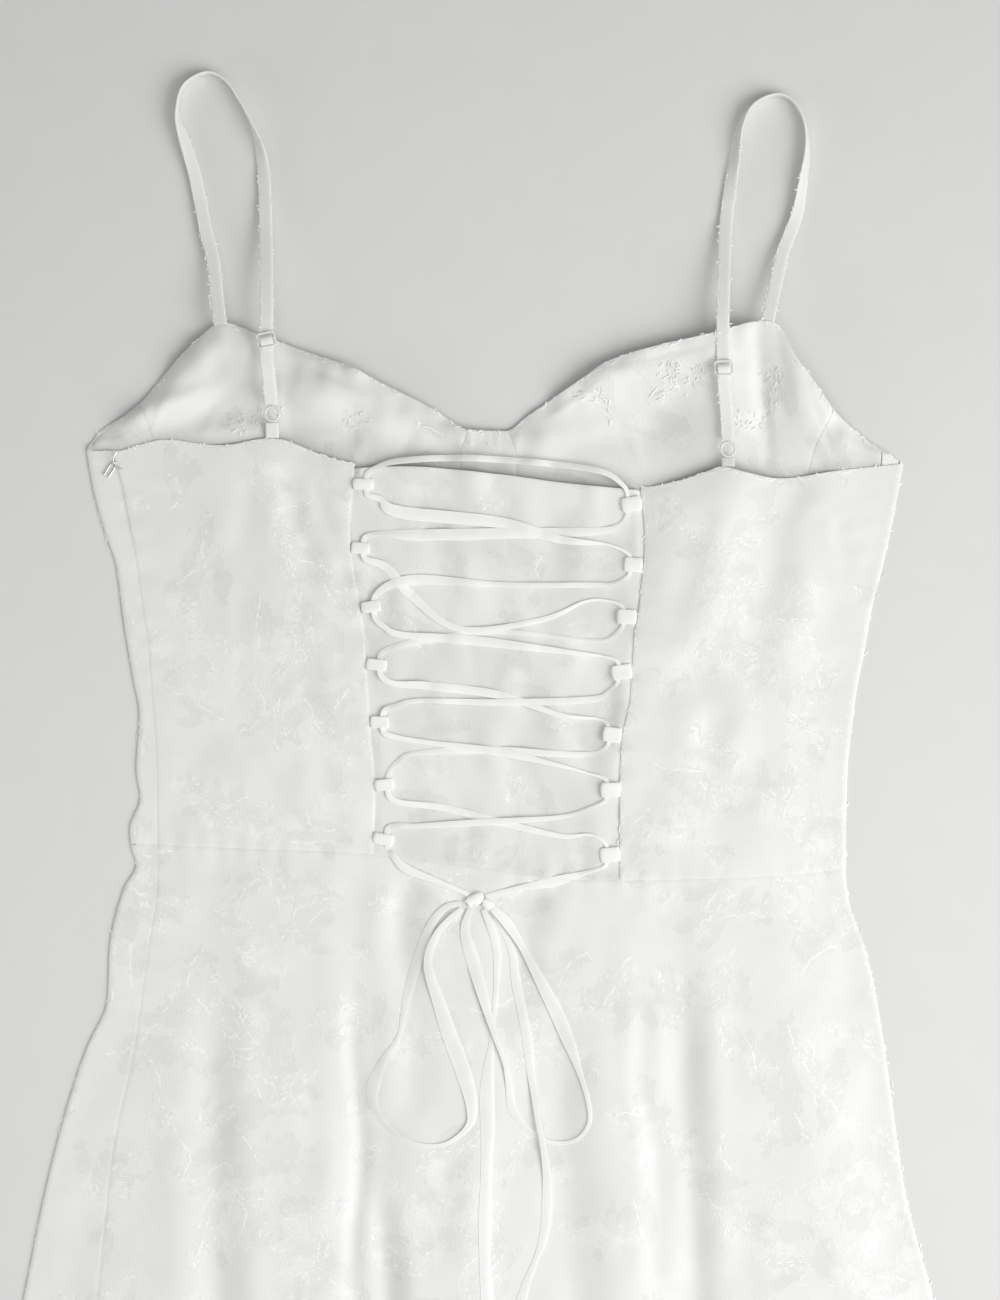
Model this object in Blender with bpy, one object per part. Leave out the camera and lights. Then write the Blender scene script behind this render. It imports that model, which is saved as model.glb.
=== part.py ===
"""A midi dress with a laced back, laid flat on its front with the back up.

X runs across the dress, Y from the hem to the straps, Z up from the surface it lies on.
All sizes and tables are in millimetres; the mesh code turns them to metres.
"""

import math
from collections import namedtuple

import bmesh
import bpy
from mathutils import Vector

MM = 0.001

# Driving sizes
WALL = 1.2  # cloth with its lining
SEAM_GAP = 0.4  # between two pieces where they are sewn together
FOLD_RADIUS = 3.0  # rounded fold at each side of the flattened tube
SEAM_TURN = 8.0  # how far the right side seam lies in from the right fold, underneath
HEM_LOW = -588.1  # hem at the middle
HEM_CURVE = 38.25  # how much higher the hem is at the sides
HEM_HALF = 346.0  # half the hem's width
PHOTO_EDGE = -26.75  # where the photograph's lower edge crosses the skirt

# Lacing
PANEL_UNDER = 14.0  # how far it runs under each back piece
LOOP_LONG = 9.0
LOOP_WIDE = 6.4
LOOP_HIGH = 4.6
LOOP_WALL = 0.6
LOOP_MIDDLE = 5.45  # height of a loop's middle
LACE_THICK = 1.0
LACE_INSET = 2.2  # from a loop's inner end to the lace

# Straps
STRAP_WIDE = 6.6
STRAP_THICK = 1.1
RING_RADIUS = 3.6
RING_WIRE = 0.6
SLIDER_WIDE = 9.8
SLIDER_LONG = 8.0
SLIDER_HIGH = 4.0
SLIDER_BAR = 1.0

# Outlines, each row (y, x)
LEFT_FOLD = [
    (398.2, -196.8), (378.2, -193.2), (363.2, -189.2), (350.8, -185.2), (340.8, -181.8),
    (313.2, -178.2), (283.2, -173.2), (265.8, -170.2), (238.2, -171.8), (224.2, -169.8),
    (208.2, -175.2), (199.2, -174.2), (190.8, -171.8), (178.2, -178.2), (148.2, -185.2),
    (123.2, -186.2), (98.2, -196.8), (73.2, -205.2), (48.2, -212.2), (23.2, -218.2),
    (-26.8, -228.2), (-551.0, -346.0),
]
RIGHT_FOLD = [
    (391.8, 213.2), (373.2, 209.8), (353.2, 205.8), (335.8, 201.8), (318.2, 197.2),
    (298.2, 193.8), (278.2, 189.8), (258.2, 187.2), (238.2, 185.2), (188.2, 184.2),
    (173.2, 185.8), (148.2, 194.2), (123.2, 199.8), (98.2, 203.8), (48.2, 210.8),
    (23.2, 214.8), (-26.8, 228.2), (-551.0, 346.0),
]
LEFT_SEAM = [
    (395.8, -183.2), (383.2, -179.2), (363.2, -175.2), (343.2, -171.8), (323.2, -169.2),
    (303.2, -166.2), (278.2, -164.2), (253.2, -162.2), (228.2, -161.2), (183.2, -161.0),
    (148.2, -165.8), (123.2, -169.2), (98.2, -172.8), (48.2, -183.2), (3.2, -188.2),
    (-26.8, -191.2), (-560.0, -291.0),
]
LACING_LEFT = [
    (391.8, -62.0), (353.2, -64.2), (313.2, -58.2), (293.2, -56.2), (258.2, -54.2),
    (228.2, -51.8), (195.8, -52.8),
]
LACING_RIGHT = [
    (378.2, 81.2), (353.2, 83.2), (323.2, 80.8), (303.2, 77.8), (273.2, 75.8),
    (253.2, 71.8), (228.2, 70.8), (183.2, 70.8),
]

# Front seams, each row (y, x)
CUP_SEAM_LEFT = [(421.2, -169.2), (407.2, -164.2), (199.0, -114.0)]
BRIDGE_SEAM_LEFT = [(408.8, -5.4), (396.8, -8.8), (192.0, -14.0)]
BRIDGE_SEAM_RIGHT = [(408.0, 14.4), (396.8, 18.8), (189.0, 22.0)]
CUP_SEAM_RIGHT = [(417.2, 176.8), (397.8, 167.8), (184.0, 128.0)]

# Upper and lower edges, each row (x, y)
FRONT_TOP = [
    (-196.8, 398.6), (-189.8, 407.8), (-178.2, 414.8), (-169.2, 421.8), (-159.8, 433.2),
    (-140.2, 453.8), (-128.8, 461.8), (-110.8, 456.2), (-79.8, 445.2), (-62.2, 439.2),
    (-48.8, 431.8), (-23.2, 419.2), (-12.2, 412.2), (-6.2, 408.8), (14.2, 408.0),
    (22.8, 414.2), (32.8, 421.2), (53.2, 435.0), (65.2, 442.8), (95.2, 451.8),
    (117.8, 456.8), (143.2, 462.8), (150.2, 460.2), (158.2, 444.8), (167.8, 432.2),
    (177.8, 418.2), (193.2, 404.8), (203.2, 397.8), (213.2, 391.8),
]
BACK_TOP = [
    (-196.8, 398.2), (-180.8, 398.2), (-171.2, 400.8), (-157.8, 403.8), (-128.8, 400.8),
    (-105.8, 404.2), (-99.2, 403.8), (-87.8, 399.8), (-76.2, 395.2), (-61.8, 391.8),
    (80.8, 379.8), (100.8, 383.2), (113.2, 387.2), (121.8, 389.8), (133.2, 387.2),
    (150.8, 384.2), (180.8, 388.2), (213.2, 391.8),
]
PANEL_EDGE = [(-80.0, 388.0), (-39.2, 390.2), (10.8, 386.2), (40.8, 382.2), (70.8, 379.2),
              (98.0, 377.0)]
WAIST = [
    (-174.8, 201.2), (-122.8, 198.8), (-66.2, 196.8), (-19.2, 192.0), (60.8, 182.8),
    (116.8, 183.8), (162.8, 186.2), (184.0, 188.2),
]

# How high the front's top edge stands off the surface, each row (x, height)
RIM_LIFT = [
    (-197.0, 0.0), (-184.0, 0.6), (-169.0, 3.5), (-140.0, 8.0), (-128.8, 9.0),
    (-100.0, 8.0), (-62.0, 6.5), (-34.0, 4.0), (-6.0, 1.5), (4.0, 1.2), (14.0, 1.5),
    (43.0, 4.0), (65.0, 6.5), (95.0, 8.5), (143.0, 9.5), (158.0, 8.5), (178.0, 4.0),
    (193.0, 1.2), (213.0, 0.0),
]
RIM_REACH = 38.0

# How far the back stands above its side folds, each row (y, height)
LOFT = [(400.0, 0.3), (300.0, 0.8), (200.0, 0.5), (100.0, 2.0), (-26.8, 3.2), (-590.0, 4.6)]
LOFT_REACH = 24.0

Fold = namedtuple("Fold", "x0 y0 x1 y1 depth0 depth1 left right spread")
FOLDS = [
    # long folds of the skirt, from the waist to the hem
    Fold(-131.5, 192.0, -109.0, -640.0, 3.0, 6.0, 9.0, 9.0, 1.0),
    Fold(-56.2, 192.0, -56.2, -640.0, 3.2, 7.0, 4.0, 13.0, 0.9),
    Fold(-39.0, 188.0, -31.0, 60.0, 2.6, 1.2, 7.0, 8.0, 0.0),
    Fold(28.2, 184.0, 16.0, 110.0, 2.4, 1.0, 11.0, 8.0, 0.0),
    Fold(9.5, 100.0, 13.0, -640.0, 1.0, 6.0, 9.0, 11.0, 1.0),
    Fold(40.0, 120.0, 68.0, -640.0, 1.6, 5.6, 10.0, 13.0, 0.8),
    Fold(100.5, 186.0, 138.0, -640.0, 3.4, 7.0, 14.0, 8.0, 0.8),
    Fold(126.0, 70.0, 165.0, -640.0, 0.6, 5.6, 6.0, 9.0, 1.0),
    Fold(172.0, 40.0, 222.0, -640.0, 0.4, 6.0, 10.0, 9.0, 1.0),
    Fold(-180.0, -40.0, -240.0, -640.0, 0.4, 5.8, 9.0, 9.0, 1.0),
    # creases of the back bodice
    Fold(-117.0, 385.0, -118.0, 300.0, 0.9, 0.5, 6.0, 7.0, 0.0),
    Fold(-98.0, 372.0, -66.0, 284.0, 1.0, 0.9, 7.0, 6.0, 0.0),
    Fold(-150.0, 300.0, -88.0, 232.0, 0.8, 0.8, 8.0, 8.0, 0.0),
    Fold(168.0, 372.0, 186.0, 300.0, 0.9, 0.8, 8.0, 8.0, 0.0),
    Fold(118.0, 368.0, 100.0, 262.0, 0.7, 0.8, 9.0, 9.0, 0.0),
    Fold(150.0, 300.0, 136.0, 215.0, 0.8, 0.7, 9.0, 8.0, 0.0),
]
BODICE_ROWS = 14
SKIRT_ROWS = 20
SKIRT_CROWD = 1.3
COLUMN_WIDE = 20.0  # about how far apart the skirt's columns are
COLUMN_LEAST = 6.0
BODICE_CROWD = 1.25  # rows lie closer together towards the top
FOLD_FADE = 0.12  # share of a fold's length over which each end fades

# Straps, each row (x, y, clearance under it, roll in degrees)
STRAP_LEFT = [
    (-128.8, 461.2, 9.4, 0), (-130.6, 474.0, 6.8, 0), (-132.8, 493.0, 3.6, 0),
    (-136.8, 509.2, 1.6, 4), (-142.2, 536.2, 0.3, 14), (-148.2, 556.2, 0.2, 45),
    (-151.0, 568.0, 0.2, 82), (-147.6, 581.0, 0.2, 90), (-136.2, 587.4, 0.2, 90),
    (-127.2, 583.8, 0.2, 90), (-120.2, 574.2, 0.2, 90), (-113.8, 561.8, 0.2, 84),
    (-109.6, 549.8, 0.3, 50), (-107.6, 536.2, 0.5, 14), (-106.6, 512.2, 3.0, 2),
    (-105.8, 483.2, 9.4, 0), (-105.5, 468.0, 11.6, 0), (-105.6, 459.0, 12.1, 0),
    (-105.6, 446.0, 12.1, 0), (-104.4, 434.0, 9.8, 0), (-103.6, 421.2, 5.9, 0),
]
STRAP_RIGHT = [
    (144.4, 463.0, 9.8, 0), (147.8, 478.2, 6.6, 0), (152.4, 497.8, 3.2, 0),
    (156.2, 507.2, 1.8, 6), (160.2, 518.8, 0.8, 22), (163.0, 535.8, 0.3, 48),
    (164.8, 550.2, 0.2, 66), (163.2, 563.0, 0.2, 80), (157.2, 573.2, 0.2, 90),
    (148.8, 576.4, 0.2, 90), (137.4, 571.2, 0.2, 88), (131.2, 559.8, 0.2, 72),
    (127.8, 540.8, 0.3, 34), (125.8, 526.2, 0.5, 12), (123.8, 510.2, 1.6, 2),
    (122.2, 478.0, 8.6, 0), (121.8, 460.8, 11.2, 0), (122.0, 445.6, 10.2, 0),
    (122.4, 432.4, 9.9, 0), (123.8, 418.0, 6.8, 0), (124.8, 403.4, 5.9, 0),
]
# Sliders and rings, each row (side, x, y, height of the strap's underside or of the ring)
SLIDERS = [("left", -105.6, 452.6, 12.1), ("right", 122.2, 438.8, 10.0)]
RINGS = [("left", -103.2, 416.4, 6.3), ("right", 124.8, 398.6, 6.3)]

# Lacing loops from the neckline down, their heights on the dress
LOOPS_LEFT = [381.2, 349.2, 319.8, 290.8, 262.2, 230.8, 203.6]
LOOPS_RIGHT = [371.2, 340.8, 314.8, 287.2, 255.8, 228.2, 195.8]

# The lace between its loops, each row (x, y, z, roll in degrees, width)
TOP_BAR = [
    (72.0, 381.0, 6.4, 76, 3.4), (60.8, 387.6, 6.8, 72, 4.4), (30.8, 391.8, 6.4, 66, 4.8),
    (-9.2, 394.2, 6.2, 64, 4.8), (-39.2, 392.8, 6.4, 68, 4.6), (-50.0, 390.0, 6.4, 76, 3.4),
]
FIRST_SPANS = [
    [(-49.0, 373.6, 6.4, 30, 3.6), (-39.2, 367.2, 6.8, 6, 6.4), (10.8, 362.0, 6.6, 0, 7.0),
     (40.8, 353.6, 6.8, 4, 6.0), (64.0, 351.0, 6.8, 40, 3.4)],
    [(67.0, 331.4, 6.6, 30, 3.4), (55.0, 330.8, 7.0, 4, 5.0), (10.8, 331.0, 6.8, 10, 5.0),
     (-28.0, 333.4, 6.8, 4, 6.4), (-44.0, 330.8, 7.2, 4, 5.2)],
    [(-47.0, 309.8, 6.6, 30, 3.2), (-37.8, 305.8, 7.0, 10, 4.4), (0.8, 302.6, 6.8, 0, 6.4),
     (50.8, 296.4, 6.8, 20, 4.6), (62.0, 295.0, 6.4, 40, 3.0)],
    [(65.0, 277.6, 6.6, 30, 3.6), (55.8, 273.4, 6.8, 4, 5.6), (10.8, 272.0, 6.8, 0, 5.6),
     (-29.2, 272.8, 6.8, 10, 4.4), (-41.0, 270.4, 6.6, 40, 3.0)],
    [(-40.0, 254.2, 6.6, 30, 3.2), (-24.2, 251.8, 6.8, 6, 4.8), (10.8, 247.0, 6.8, 0, 6.0),
     (40.8, 240.4, 6.8, 10, 4.2), (55.0, 236.4, 6.6, 40, 3.0)],
    [(57.0, 219.8, 6.6, 30, 3.2), (40.8, 214.6, 6.8, 6, 4.6), (0.8, 212.0, 6.8, 0, 5.6),
     (-30.0, 210.2, 6.6, 10, 4.4), (-40.0, 210.4, 6.2, 40, 2.8)],
]
FIRST_TAIL = [(-42.8, 195.6, 9.0, 20, 3.0), (-36.2, 189.0, 9.4, 16, 4.6),
              (-22.2, 183.2, 9.8, 20, 4.0), (-10.0, 178.2, 11.6, 14, 3.0)]
SECOND_SPANS = [
    [(71.0, 361.6, 5.0, 20, 4.0), (60.8, 357.8, 4.6, 4, 5.8), (20.8, 356.8, 4.5, 0, 6.6),
     (-29.2, 355.8, 4.5, 0, 6.6), (-48.0, 356.4, 5.0, 30, 3.6)],
    [(-46.0, 339.4, 5.0, 10, 5.2), (-34.0, 326.0, 4.5, 0, 5.8), (-9.2, 308.8, 4.5, 0, 5.4),
     (30.8, 313.2, 4.5, 4, 5.0), (53.2, 322.4, 4.8, 30, 3.4), (64.0, 323.0, 5.0, 40, 3.0)],
    [(64.6, 304.0, 5.0, 40, 3.2), (53.2, 303.2, 4.7, 20, 3.8), (10.8, 307.4, 4.5, 4, 5.0),
     (-24.2, 303.6, 4.6, 0, 5.6), (-42.0, 299.6, 5.0, 30, 4.0)],
    [(-42.0, 281.4, 5.0, 30, 3.6), (-24.2, 280.2, 4.5, 0, 6.0), (10.8, 275.6, 4.5, 0, 6.0),
     (40.8, 265.8, 4.6, 10, 4.8), (59.0, 263.8, 5.0, 40, 3.0)],
    [(57.4, 246.6, 5.0, 30, 4.4), (40.8, 246.2, 4.6, 4, 5.4), (0.8, 248.2, 4.5, 0, 6.0),
     (-31.8, 246.4, 4.6, 20, 3.8), (-40.6, 242.2, 5.0, 40, 3.0)],
    [(-38.6, 221.8, 5.0, 30, 3.6), (-16.8, 219.2, 4.5, 0, 5.6), (10.8, 212.0, 4.5, 0, 5.8),
     (40.8, 205.2, 4.6, 4, 4.8), (56.0, 205.8, 5.0, 40, 3.0)],
]
SECOND_TAIL = [(56.8, 187.6, 8.4, 20, 4.0), (38.2, 182.6, 9.4, 0, 6.4),
               (20.8, 179.2, 10.0, 6, 5.2), (7.8, 176.4, 10.8, 14, 3.4)]
LOOP_LACE = 1.9  # the lace is bunched to this inside a loop
LOOP_EXIT = 5.2  # from a loop's middle to where the lace leaves it

# Bow, each row (x, y, clearance over the skirt, roll in degrees, width)
KNOT = Vector((-1.2, 174.4, 11.0))
KNOT_SIZE = Vector((17.0, 10.0, 7.4))
BOW_LOOP_LEFT = [
    (-10.9, 172.4, 2.2, 14, 3.4), (-20.2, 171.2, 1.6, 40, 4.6), (-27.2, 162.2, 0.8, 40, 5.0),
    (-31.2, 147.2, 0.5, 20, 5.4), (-36.4, 126.2, 0.5, 40, 5.4), (-39.8, 106.2, 0.5, 50, 5.0),
    (-46.8, 94.2, 0.5, 30, 5.6), (-52.4, 80.8, 0.5, 20, 5.6), (-52.2, 70.2, 0.5, 50, 4.4),
    (-43.8, 58.6, 0.5, 76, 4.0), (-30.2, 51.6, 0.5, 80, 4.0), (-16.2, 51.8, 0.5, 80, 4.0),
    (-5.0, 60.4, 0.5, 70, 4.0), (-3.4, 70.8, 0.5, 30, 5.4), (-7.2, 86.2, 0.5, 6, 6.6),
    (-13.8, 104.2, 0.5, 4, 6.6), (-19.8, 122.2, 1.0, 10, 6.0), (-25.2, 141.2, 3.6, 20, 5.2),
    (-21.6, 154.6, 4.6, 20, 4.8), (-14.4, 163.8, 4.4, 20, 4.2), (-7.8, 169.2, 4.0, 14, 3.0),
]
BOW_LOOP_RIGHT = [
    (-4.0, 168.7, 3.2, 10, 4.2), (-6.8, 158.2, 1.2, 0, 6.6), (-2.8, 142.8, 0.8, 4, 6.6),
    (1.6, 128.2, 3.4, 10, 5.8), (5.6, 114.2, 3.9, 10, 4.8), (9.2, 103.2, 3.9, 10, 4.8),
    (13.2, 92.0, 3.4, 10, 5.4), (15.4, 80.2, 1.0, 6, 6.4), (17.2, 68.8, 0.5, 20, 5.6),
    (24.6, 58.4, 0.5, 50, 4.6), (36.2, 52.0, 0.5, 76, 4.0), (48.2, 53.0, 0.5, 80, 4.0),
    (55.2, 61.4, 0.5, 80, 4.0), (54.8, 72.8, 0.5, 76, 4.2), (50.2, 88.2, 0.5, 60, 4.6),
    (44.8, 103.2, 0.6, 30, 5.6), (37.8, 119.2, 0.8, 10, 6.6), (29.6, 135.2, 2.0, 6, 6.4),
    (22.0, 149.6, 3.6, 14, 5.4), (14.6, 161.4, 5.0, 16, 4.4), (7.2, 169.2, 5.4, 14, 3.2),
]
BOW_TAIL_LEFT = [
    (2.6, 168.6, 1.6, 10, 3.6), (8.8, 150.8, 0.6, 20, 5.2), (9.0, 133.2, 0.5, 16, 5.0),
    (8.0, 118.2, 0.5, 10, 4.4), (6.8, 104.2, 0.5, 10, 4.4), (5.2, 90.8, 0.5, 8, 5.4),
    (4.2, 75.8, 0.5, 0, 6.8), (4.6, 58.2, 0.5, 6, 6.0), (3.8, 38.2, 0.5, 10, 5.8),
    (3.4, 13.2, 0.5, 0, 6.8), (3.2, -6.8, 0.5, 0, 6.8), (4.4, -26.8, 0.5, 4, 6.8),
    (5.6, -44.0, 0.5, 4, 6.8),
]
BOW_TAIL_RIGHT = [
    (6.8, 168.4, 0.8, 6, 3.0), (12.2, 158.2, 0.5, 6, 3.4), (16.8, 147.2, 0.5, 10, 4.6), (18.6, 133.2, 0.5, 10, 5.4),
    (21.4, 119.2, 0.5, 10, 5.6), (24.2, 104.8, 0.5, 10, 5.6), (26.0, 88.8, 0.6, 10, 5.8),
    (28.2, 74.8, 3.0, 10, 5.4), (30.0, 62.0, 6.0, 20, 5.0), (32.4, 50.2, 6.0, 20, 4.6),
    (34.2, 36.2, 1.8, 20, 4.6), (34.2, 18.2, 0.5, 14, 5.4), (32.4, 3.8, 0.5, 10, 6.4),
    (28.0, -8.0, 0.5, 14, 6.0), (23.4, -20.0, 0.5, 10, 6.6), (20.4, -32.0, 0.5, 0, 6.8),
    (18.8, -47.0, 0.5, 0, 6.8),
]

# Hook and eye over the top of the zipped seam, each row (x, y, height over the back)
SIDE_HOOK = [(-178.4, 388.6, 0.9), (-181.2, 390.2, 2.0), (-182.8, 394.0, 2.4),
             (-181.4, 397.2, 2.2)]
SIDE_EYE = [(-187.6, 386.0, 0.9), (-184.2, 391.4, 0.9), (-181.8, 392.6, 0.9),
            (-182.6, 389.2, 0.9), (-185.6, 384.8, 0.9)]
SIDE_WIRE = 0.4

JACQUARD = (0.87, 0.87, 0.85, 1.0)
SATIN = (0.90, 0.90, 0.88, 1.0)
NICKEL = (0.80, 0.80, 0.79, 1.0)
COATED = (0.86, 0.86, 0.84, 1.0)


def smooth(share):
    """A soft step from 0 to 1."""
    share = min(max(share, 0.0), 1.0)
    return share * share * (3 - 2 * share)


def along(rows, at):
    """The value at a place on a smooth curve through rows of (place, value)."""
    rows = sorted(rows)
    if at <= rows[0][0]:
        return rows[0][1]
    if at >= rows[-1][0]:
        return rows[-1][1]
    steps = [(b[1] - a[1]) / (b[0] - a[0]) for a, b in zip(rows, rows[1:])]
    k = next(i for i, row in enumerate(rows[1:]) if at <= row[0])

    def slope(i):
        if i == 0 or i == len(steps):
            return steps[min(i, len(steps) - 1)]
        before, after = steps[i - 1], steps[i]
        return 0.0 if before * after <= 0 else 2 * before * after / (before + after)

    (x0, y0), (x1, y1) = rows[k], rows[k + 1]
    wide = x1 - x0
    t = (at - x0) / wide
    return (
        y0 * (1 + 2 * t) * (1 - t) ** 2
        + y1 * t * t * (3 - 2 * t)
        + wide * t * (1 - t) * (slope(k) * (1 - t) - slope(k + 1) * t)
    )


def curve_of(rows):
    return lambda at: along(rows, at)


left_fold = curve_of(LEFT_FOLD)
right_fold = curve_of(RIGHT_FOLD)
left_seam = curve_of(LEFT_SEAM)
front_top = curve_of(FRONT_TOP)
back_top = curve_of(BACK_TOP)
waist = curve_of(WAIST)


def hem(x):
    return HEM_LOW + HEM_CURVE * min(1.0, (x / HEM_HALF) ** 2)


def trough(fold, x, y):
    """How deep one fold is at a point of the back."""
    run = Vector((fold.x1 - fold.x0, fold.y1 - fold.y0))
    to = Vector((x - fold.x0, y - fold.y0))
    share = to.dot(run) / run.length_squared
    if not 0 < share < 1:
        return 0.0
    aside = (run.x * to.y - run.y * to.x) / run.length
    wide = (fold.right if aside > 0 else fold.left) * (1 + fold.spread * share)
    depth = fold.depth0 + (fold.depth1 - fold.depth0) * share
    fade = smooth(share / FOLD_FADE) * smooth((1 - share) / FOLD_FADE)
    return depth * fade * math.exp(-((aside / wide) ** 2))


def back_height(x, y):
    """Height of the dress's upper face, the outside of the back."""
    inward = min(x - left_fold(y), right_fold(y) - x) - FOLD_RADIUS
    loft = along(LOFT, y) - sum(trough(fold, x, y) for fold in FOLDS)
    return 2 * FOLD_RADIUS + loft * smooth(inward / LOFT_REACH)


def front_lift(x, y):
    """Height of the front's underside, which is off the surface only near its top edge."""
    return along(RIM_LIFT, x) * (1 - smooth((front_top(x) - y) / RIM_REACH))


Column = namedtuple("Column", "place top bottom")


def between(low, high, share):
    return lambda y: low(y) + (high(y) - low(y)) * share


def shifted(line, by):
    return lambda y: line(y) + by


def upper(line, top, bottom):
    """A column of points on the dress's upper face."""
    return Column(lambda y: (line(y), back_height(line(y), y)), top, bottom)


def under(line, top, bottom):
    """A column of points on the dress's underside."""
    return Column(lambda y: (line(y), front_lift(line(y), y)), top, bottom)


def on_front(line, top, bottom):
    """A column of points on the upper face of a panel that lies on the front's inside."""
    return Column(lambda y: (line(y), front_lift(line(y), y) + 2 * WALL + 0.4), top, bottom)


def turned(fold, way, angle, top, bottom):
    """A column on the rounded side fold, from 0 underneath to 180 degrees on top."""
    out, rise = math.sin(math.radians(angle)), math.cos(math.radians(angle))
    return Column(
        lambda y: (fold(y) - way * FOLD_RADIUS * (1 - out), FOLD_RADIUS * (1 - rise)), top, bottom
    )


def spread(kind, low, high, count, top, bottom, ends=(True, True)):
    """Columns of a kind, evenly from one line to another."""
    first, last = (0 if ends[0] else 1), (count if ends[1] else count - 1)
    return [kind(between(low, high, i / count), top, bottom) for i in range(first, last + 1)]


def edge_height(column, edge, guess):
    """Where a column meets an edge that is given by its height at each x."""
    y = guess
    for _ in range(8):
        y = edge(column.place(y)[0])
    return y


def material(name, colour, roughness, metallic=0.0):
    made = bpy.data.materials.new(name)
    made.use_nodes = True
    shader = made.node_tree.nodes["Principled BSDF"]
    shader.inputs["Base Color"].default_value = colour
    shader.inputs["Roughness"].default_value = roughness
    shader.inputs["Metallic"].default_value = metallic
    return made


def add_object(name, mesh_work, finish):
    """An object from a bmesh in millimetres."""
    bmesh.ops.scale(mesh_work, vec=(MM, MM, MM), verts=mesh_work.verts)
    mesh = bpy.data.meshes.new(name)
    mesh_work.to_mesh(mesh)
    mesh_work.free()
    made = bpy.data.objects.new(name, mesh)
    bpy.context.collection.objects.link(made)
    mesh.materials.append(material(name, *finish))
    mesh.shade_smooth()
    mesh.set_sharp_from_angle(angle=math.radians(40))
    return made


def panel(name, columns, rows, finish, crowd=1.0, wall=WALL):
    """A cloth piece: its outer face over columns and rows, thickened inwards."""
    work = bmesh.new()
    across = len(columns) - 1
    bmesh.ops.create_grid(work, x_segments=across, y_segments=rows, size=1.0)
    tops = [edge_height(c, c.top, 400.0) - SEAM_GAP / 2 for c in columns]
    bottoms = [edge_height(c, c.bottom, 0.0) + SEAM_GAP / 2 for c in columns]
    for vert in work.verts:
        j = round((vert.co.x + 1) / 2 * across)
        down = (1 - (vert.co.y + 1) / 2) ** crowd
        y = tops[j] + (bottoms[j] - tops[j]) * down
        x, z = columns[j].place(y)
        vert.co = (x, y, z)
    made = add_object(name, work, finish)
    thick = made.modifiers.new("wall", "SOLIDIFY")
    thick.thickness = wall * MM
    thick.offset = -1.0
    return made


def ribbon_ring(point, heading, roll, wide, thick):
    """The four corners of a flat strip's section."""
    aside = Vector((-heading.y, heading.x, 0.0)).normalized()
    across = aside * math.cos(roll) + Vector((0, 0, 1)) * math.sin(roll)
    face = heading.cross(across).normalized()
    a, b = across * wide / 2, face * thick / 2
    return [point - a - b, point + a - b, point + a + b, point - a + b]


def smooth_route(rows, step):
    """Rows of equal length read from a smooth curve through the given rows."""
    rows = [Vector(row) for row in rows]
    padded = [rows[0] * 2 - rows[1], *rows, rows[-1] * 2 - rows[-2]]
    fine = []
    for a, b, c, d in zip(padded, padded[1:], padded[2:], padded[3:]):
        count = max(1, round((c - b).to_3d().length / step))
        for i in range(count):
            t = i / count
            fine.append(
                0.5 * (2 * b + (c - a) * t + (2 * a - 5 * b + 4 * c - d) * t**2
                       + (3 * b - a - 3 * c + d) * t**3)
            )
    return [*fine, rows[-1]]


def strip(name, route, finish):
    """A flat strip along rows of (x, y, z, roll, width, thickness)."""
    work = bmesh.new()
    rings = []
    for i, row in enumerate(route):
        before, after = route[max(i - 1, 0)], route[min(i + 1, len(route) - 1)]
        heading = Vector((after[:3])) - Vector((before[:3]))
        heading.normalize()
        corners = ribbon_ring(Vector(row[:3]), heading, math.radians(row[3]), row[4], row[5])
        rings.append([work.verts.new(p) for p in corners])
    for low, high in zip(rings, rings[1:]):
        for k in range(4):
            n = (k + 1) % 4
            work.faces.new((low[k], low[n], high[n], high[k]))
    work.faces.new(rings[0][::-1])
    work.faces.new(rings[-1])
    bmesh.ops.recalc_face_normals(work, faces=work.faces)
    return add_object(name, work, finish)


def highest(ground, x, y, reach):
    """The highest ground within reach of a point."""
    turns = [math.tau * k / 8 for k in range(8)]
    ring_heights = [ground(x + reach * math.cos(t), y + reach * math.sin(t)) for t in turns]
    return max(ground(x, y), *ring_heights)


def laid_route(rows, thick, ground, step):
    """A strip's rows from (x, y, clearance, roll, width), laid over the ground."""
    route = []
    for x, y, clear, roll, wide in smooth_route(rows, step):
        lean = math.radians(roll)
        high = abs(math.sin(lean)) * wide / 2 + abs(math.cos(lean)) * thick / 2
        low = highest(ground, x, y, abs(math.cos(lean)) * wide / 2 + 1.0)
        route.append((x, y, low + clear + high, roll, wide, thick))
    return route


def floor(x, y):
    return 0.0


def front_pieces():
    """The front bodice, from its top edge to the waist, from left to right."""
    cloth = (JACQUARD, 0.6)
    right_seam = shifted(right_fold, -FOLD_RADIUS - SEAM_TURN - SEAM_GAP)
    seams = [curve_of(rows) for rows in
             (CUP_SEAM_LEFT, BRIDGE_SEAM_LEFT, BRIDGE_SEAM_RIGHT, CUP_SEAM_RIGHT)]
    start = shifted(left_fold, FOLD_RADIUS)
    half = SEAM_GAP / 2
    side = spread(under, shifted(seams[0], -half), start, 5, front_top, waist)
    side += [turned(left_fold, -1, a, front_top, waist) for a in (40, 90, 140)]
    side += spread(upper, start, shifted(left_seam, -half), 2, back_top, waist)
    panel("front_side_left", side, BODICE_ROWS, cloth, BODICE_CROWD)
    for name, low, high, count in (
        ("front_cup_left", seams[0], seams[1], 14),
        ("front_bridge", seams[1], seams[2], 4),
        ("front_cup_right", seams[2], seams[3], 14),
    ):
        columns = spread(under, shifted(high, -half), shifted(low, half), count, front_top, waist)
        panel(name, columns, BODICE_ROWS, cloth, BODICE_CROWD)
    columns = spread(under, right_seam, shifted(seams[3], half), 4, front_top, waist)
    panel("front_side_right", columns, BODICE_ROWS, cloth, BODICE_CROWD)


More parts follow.
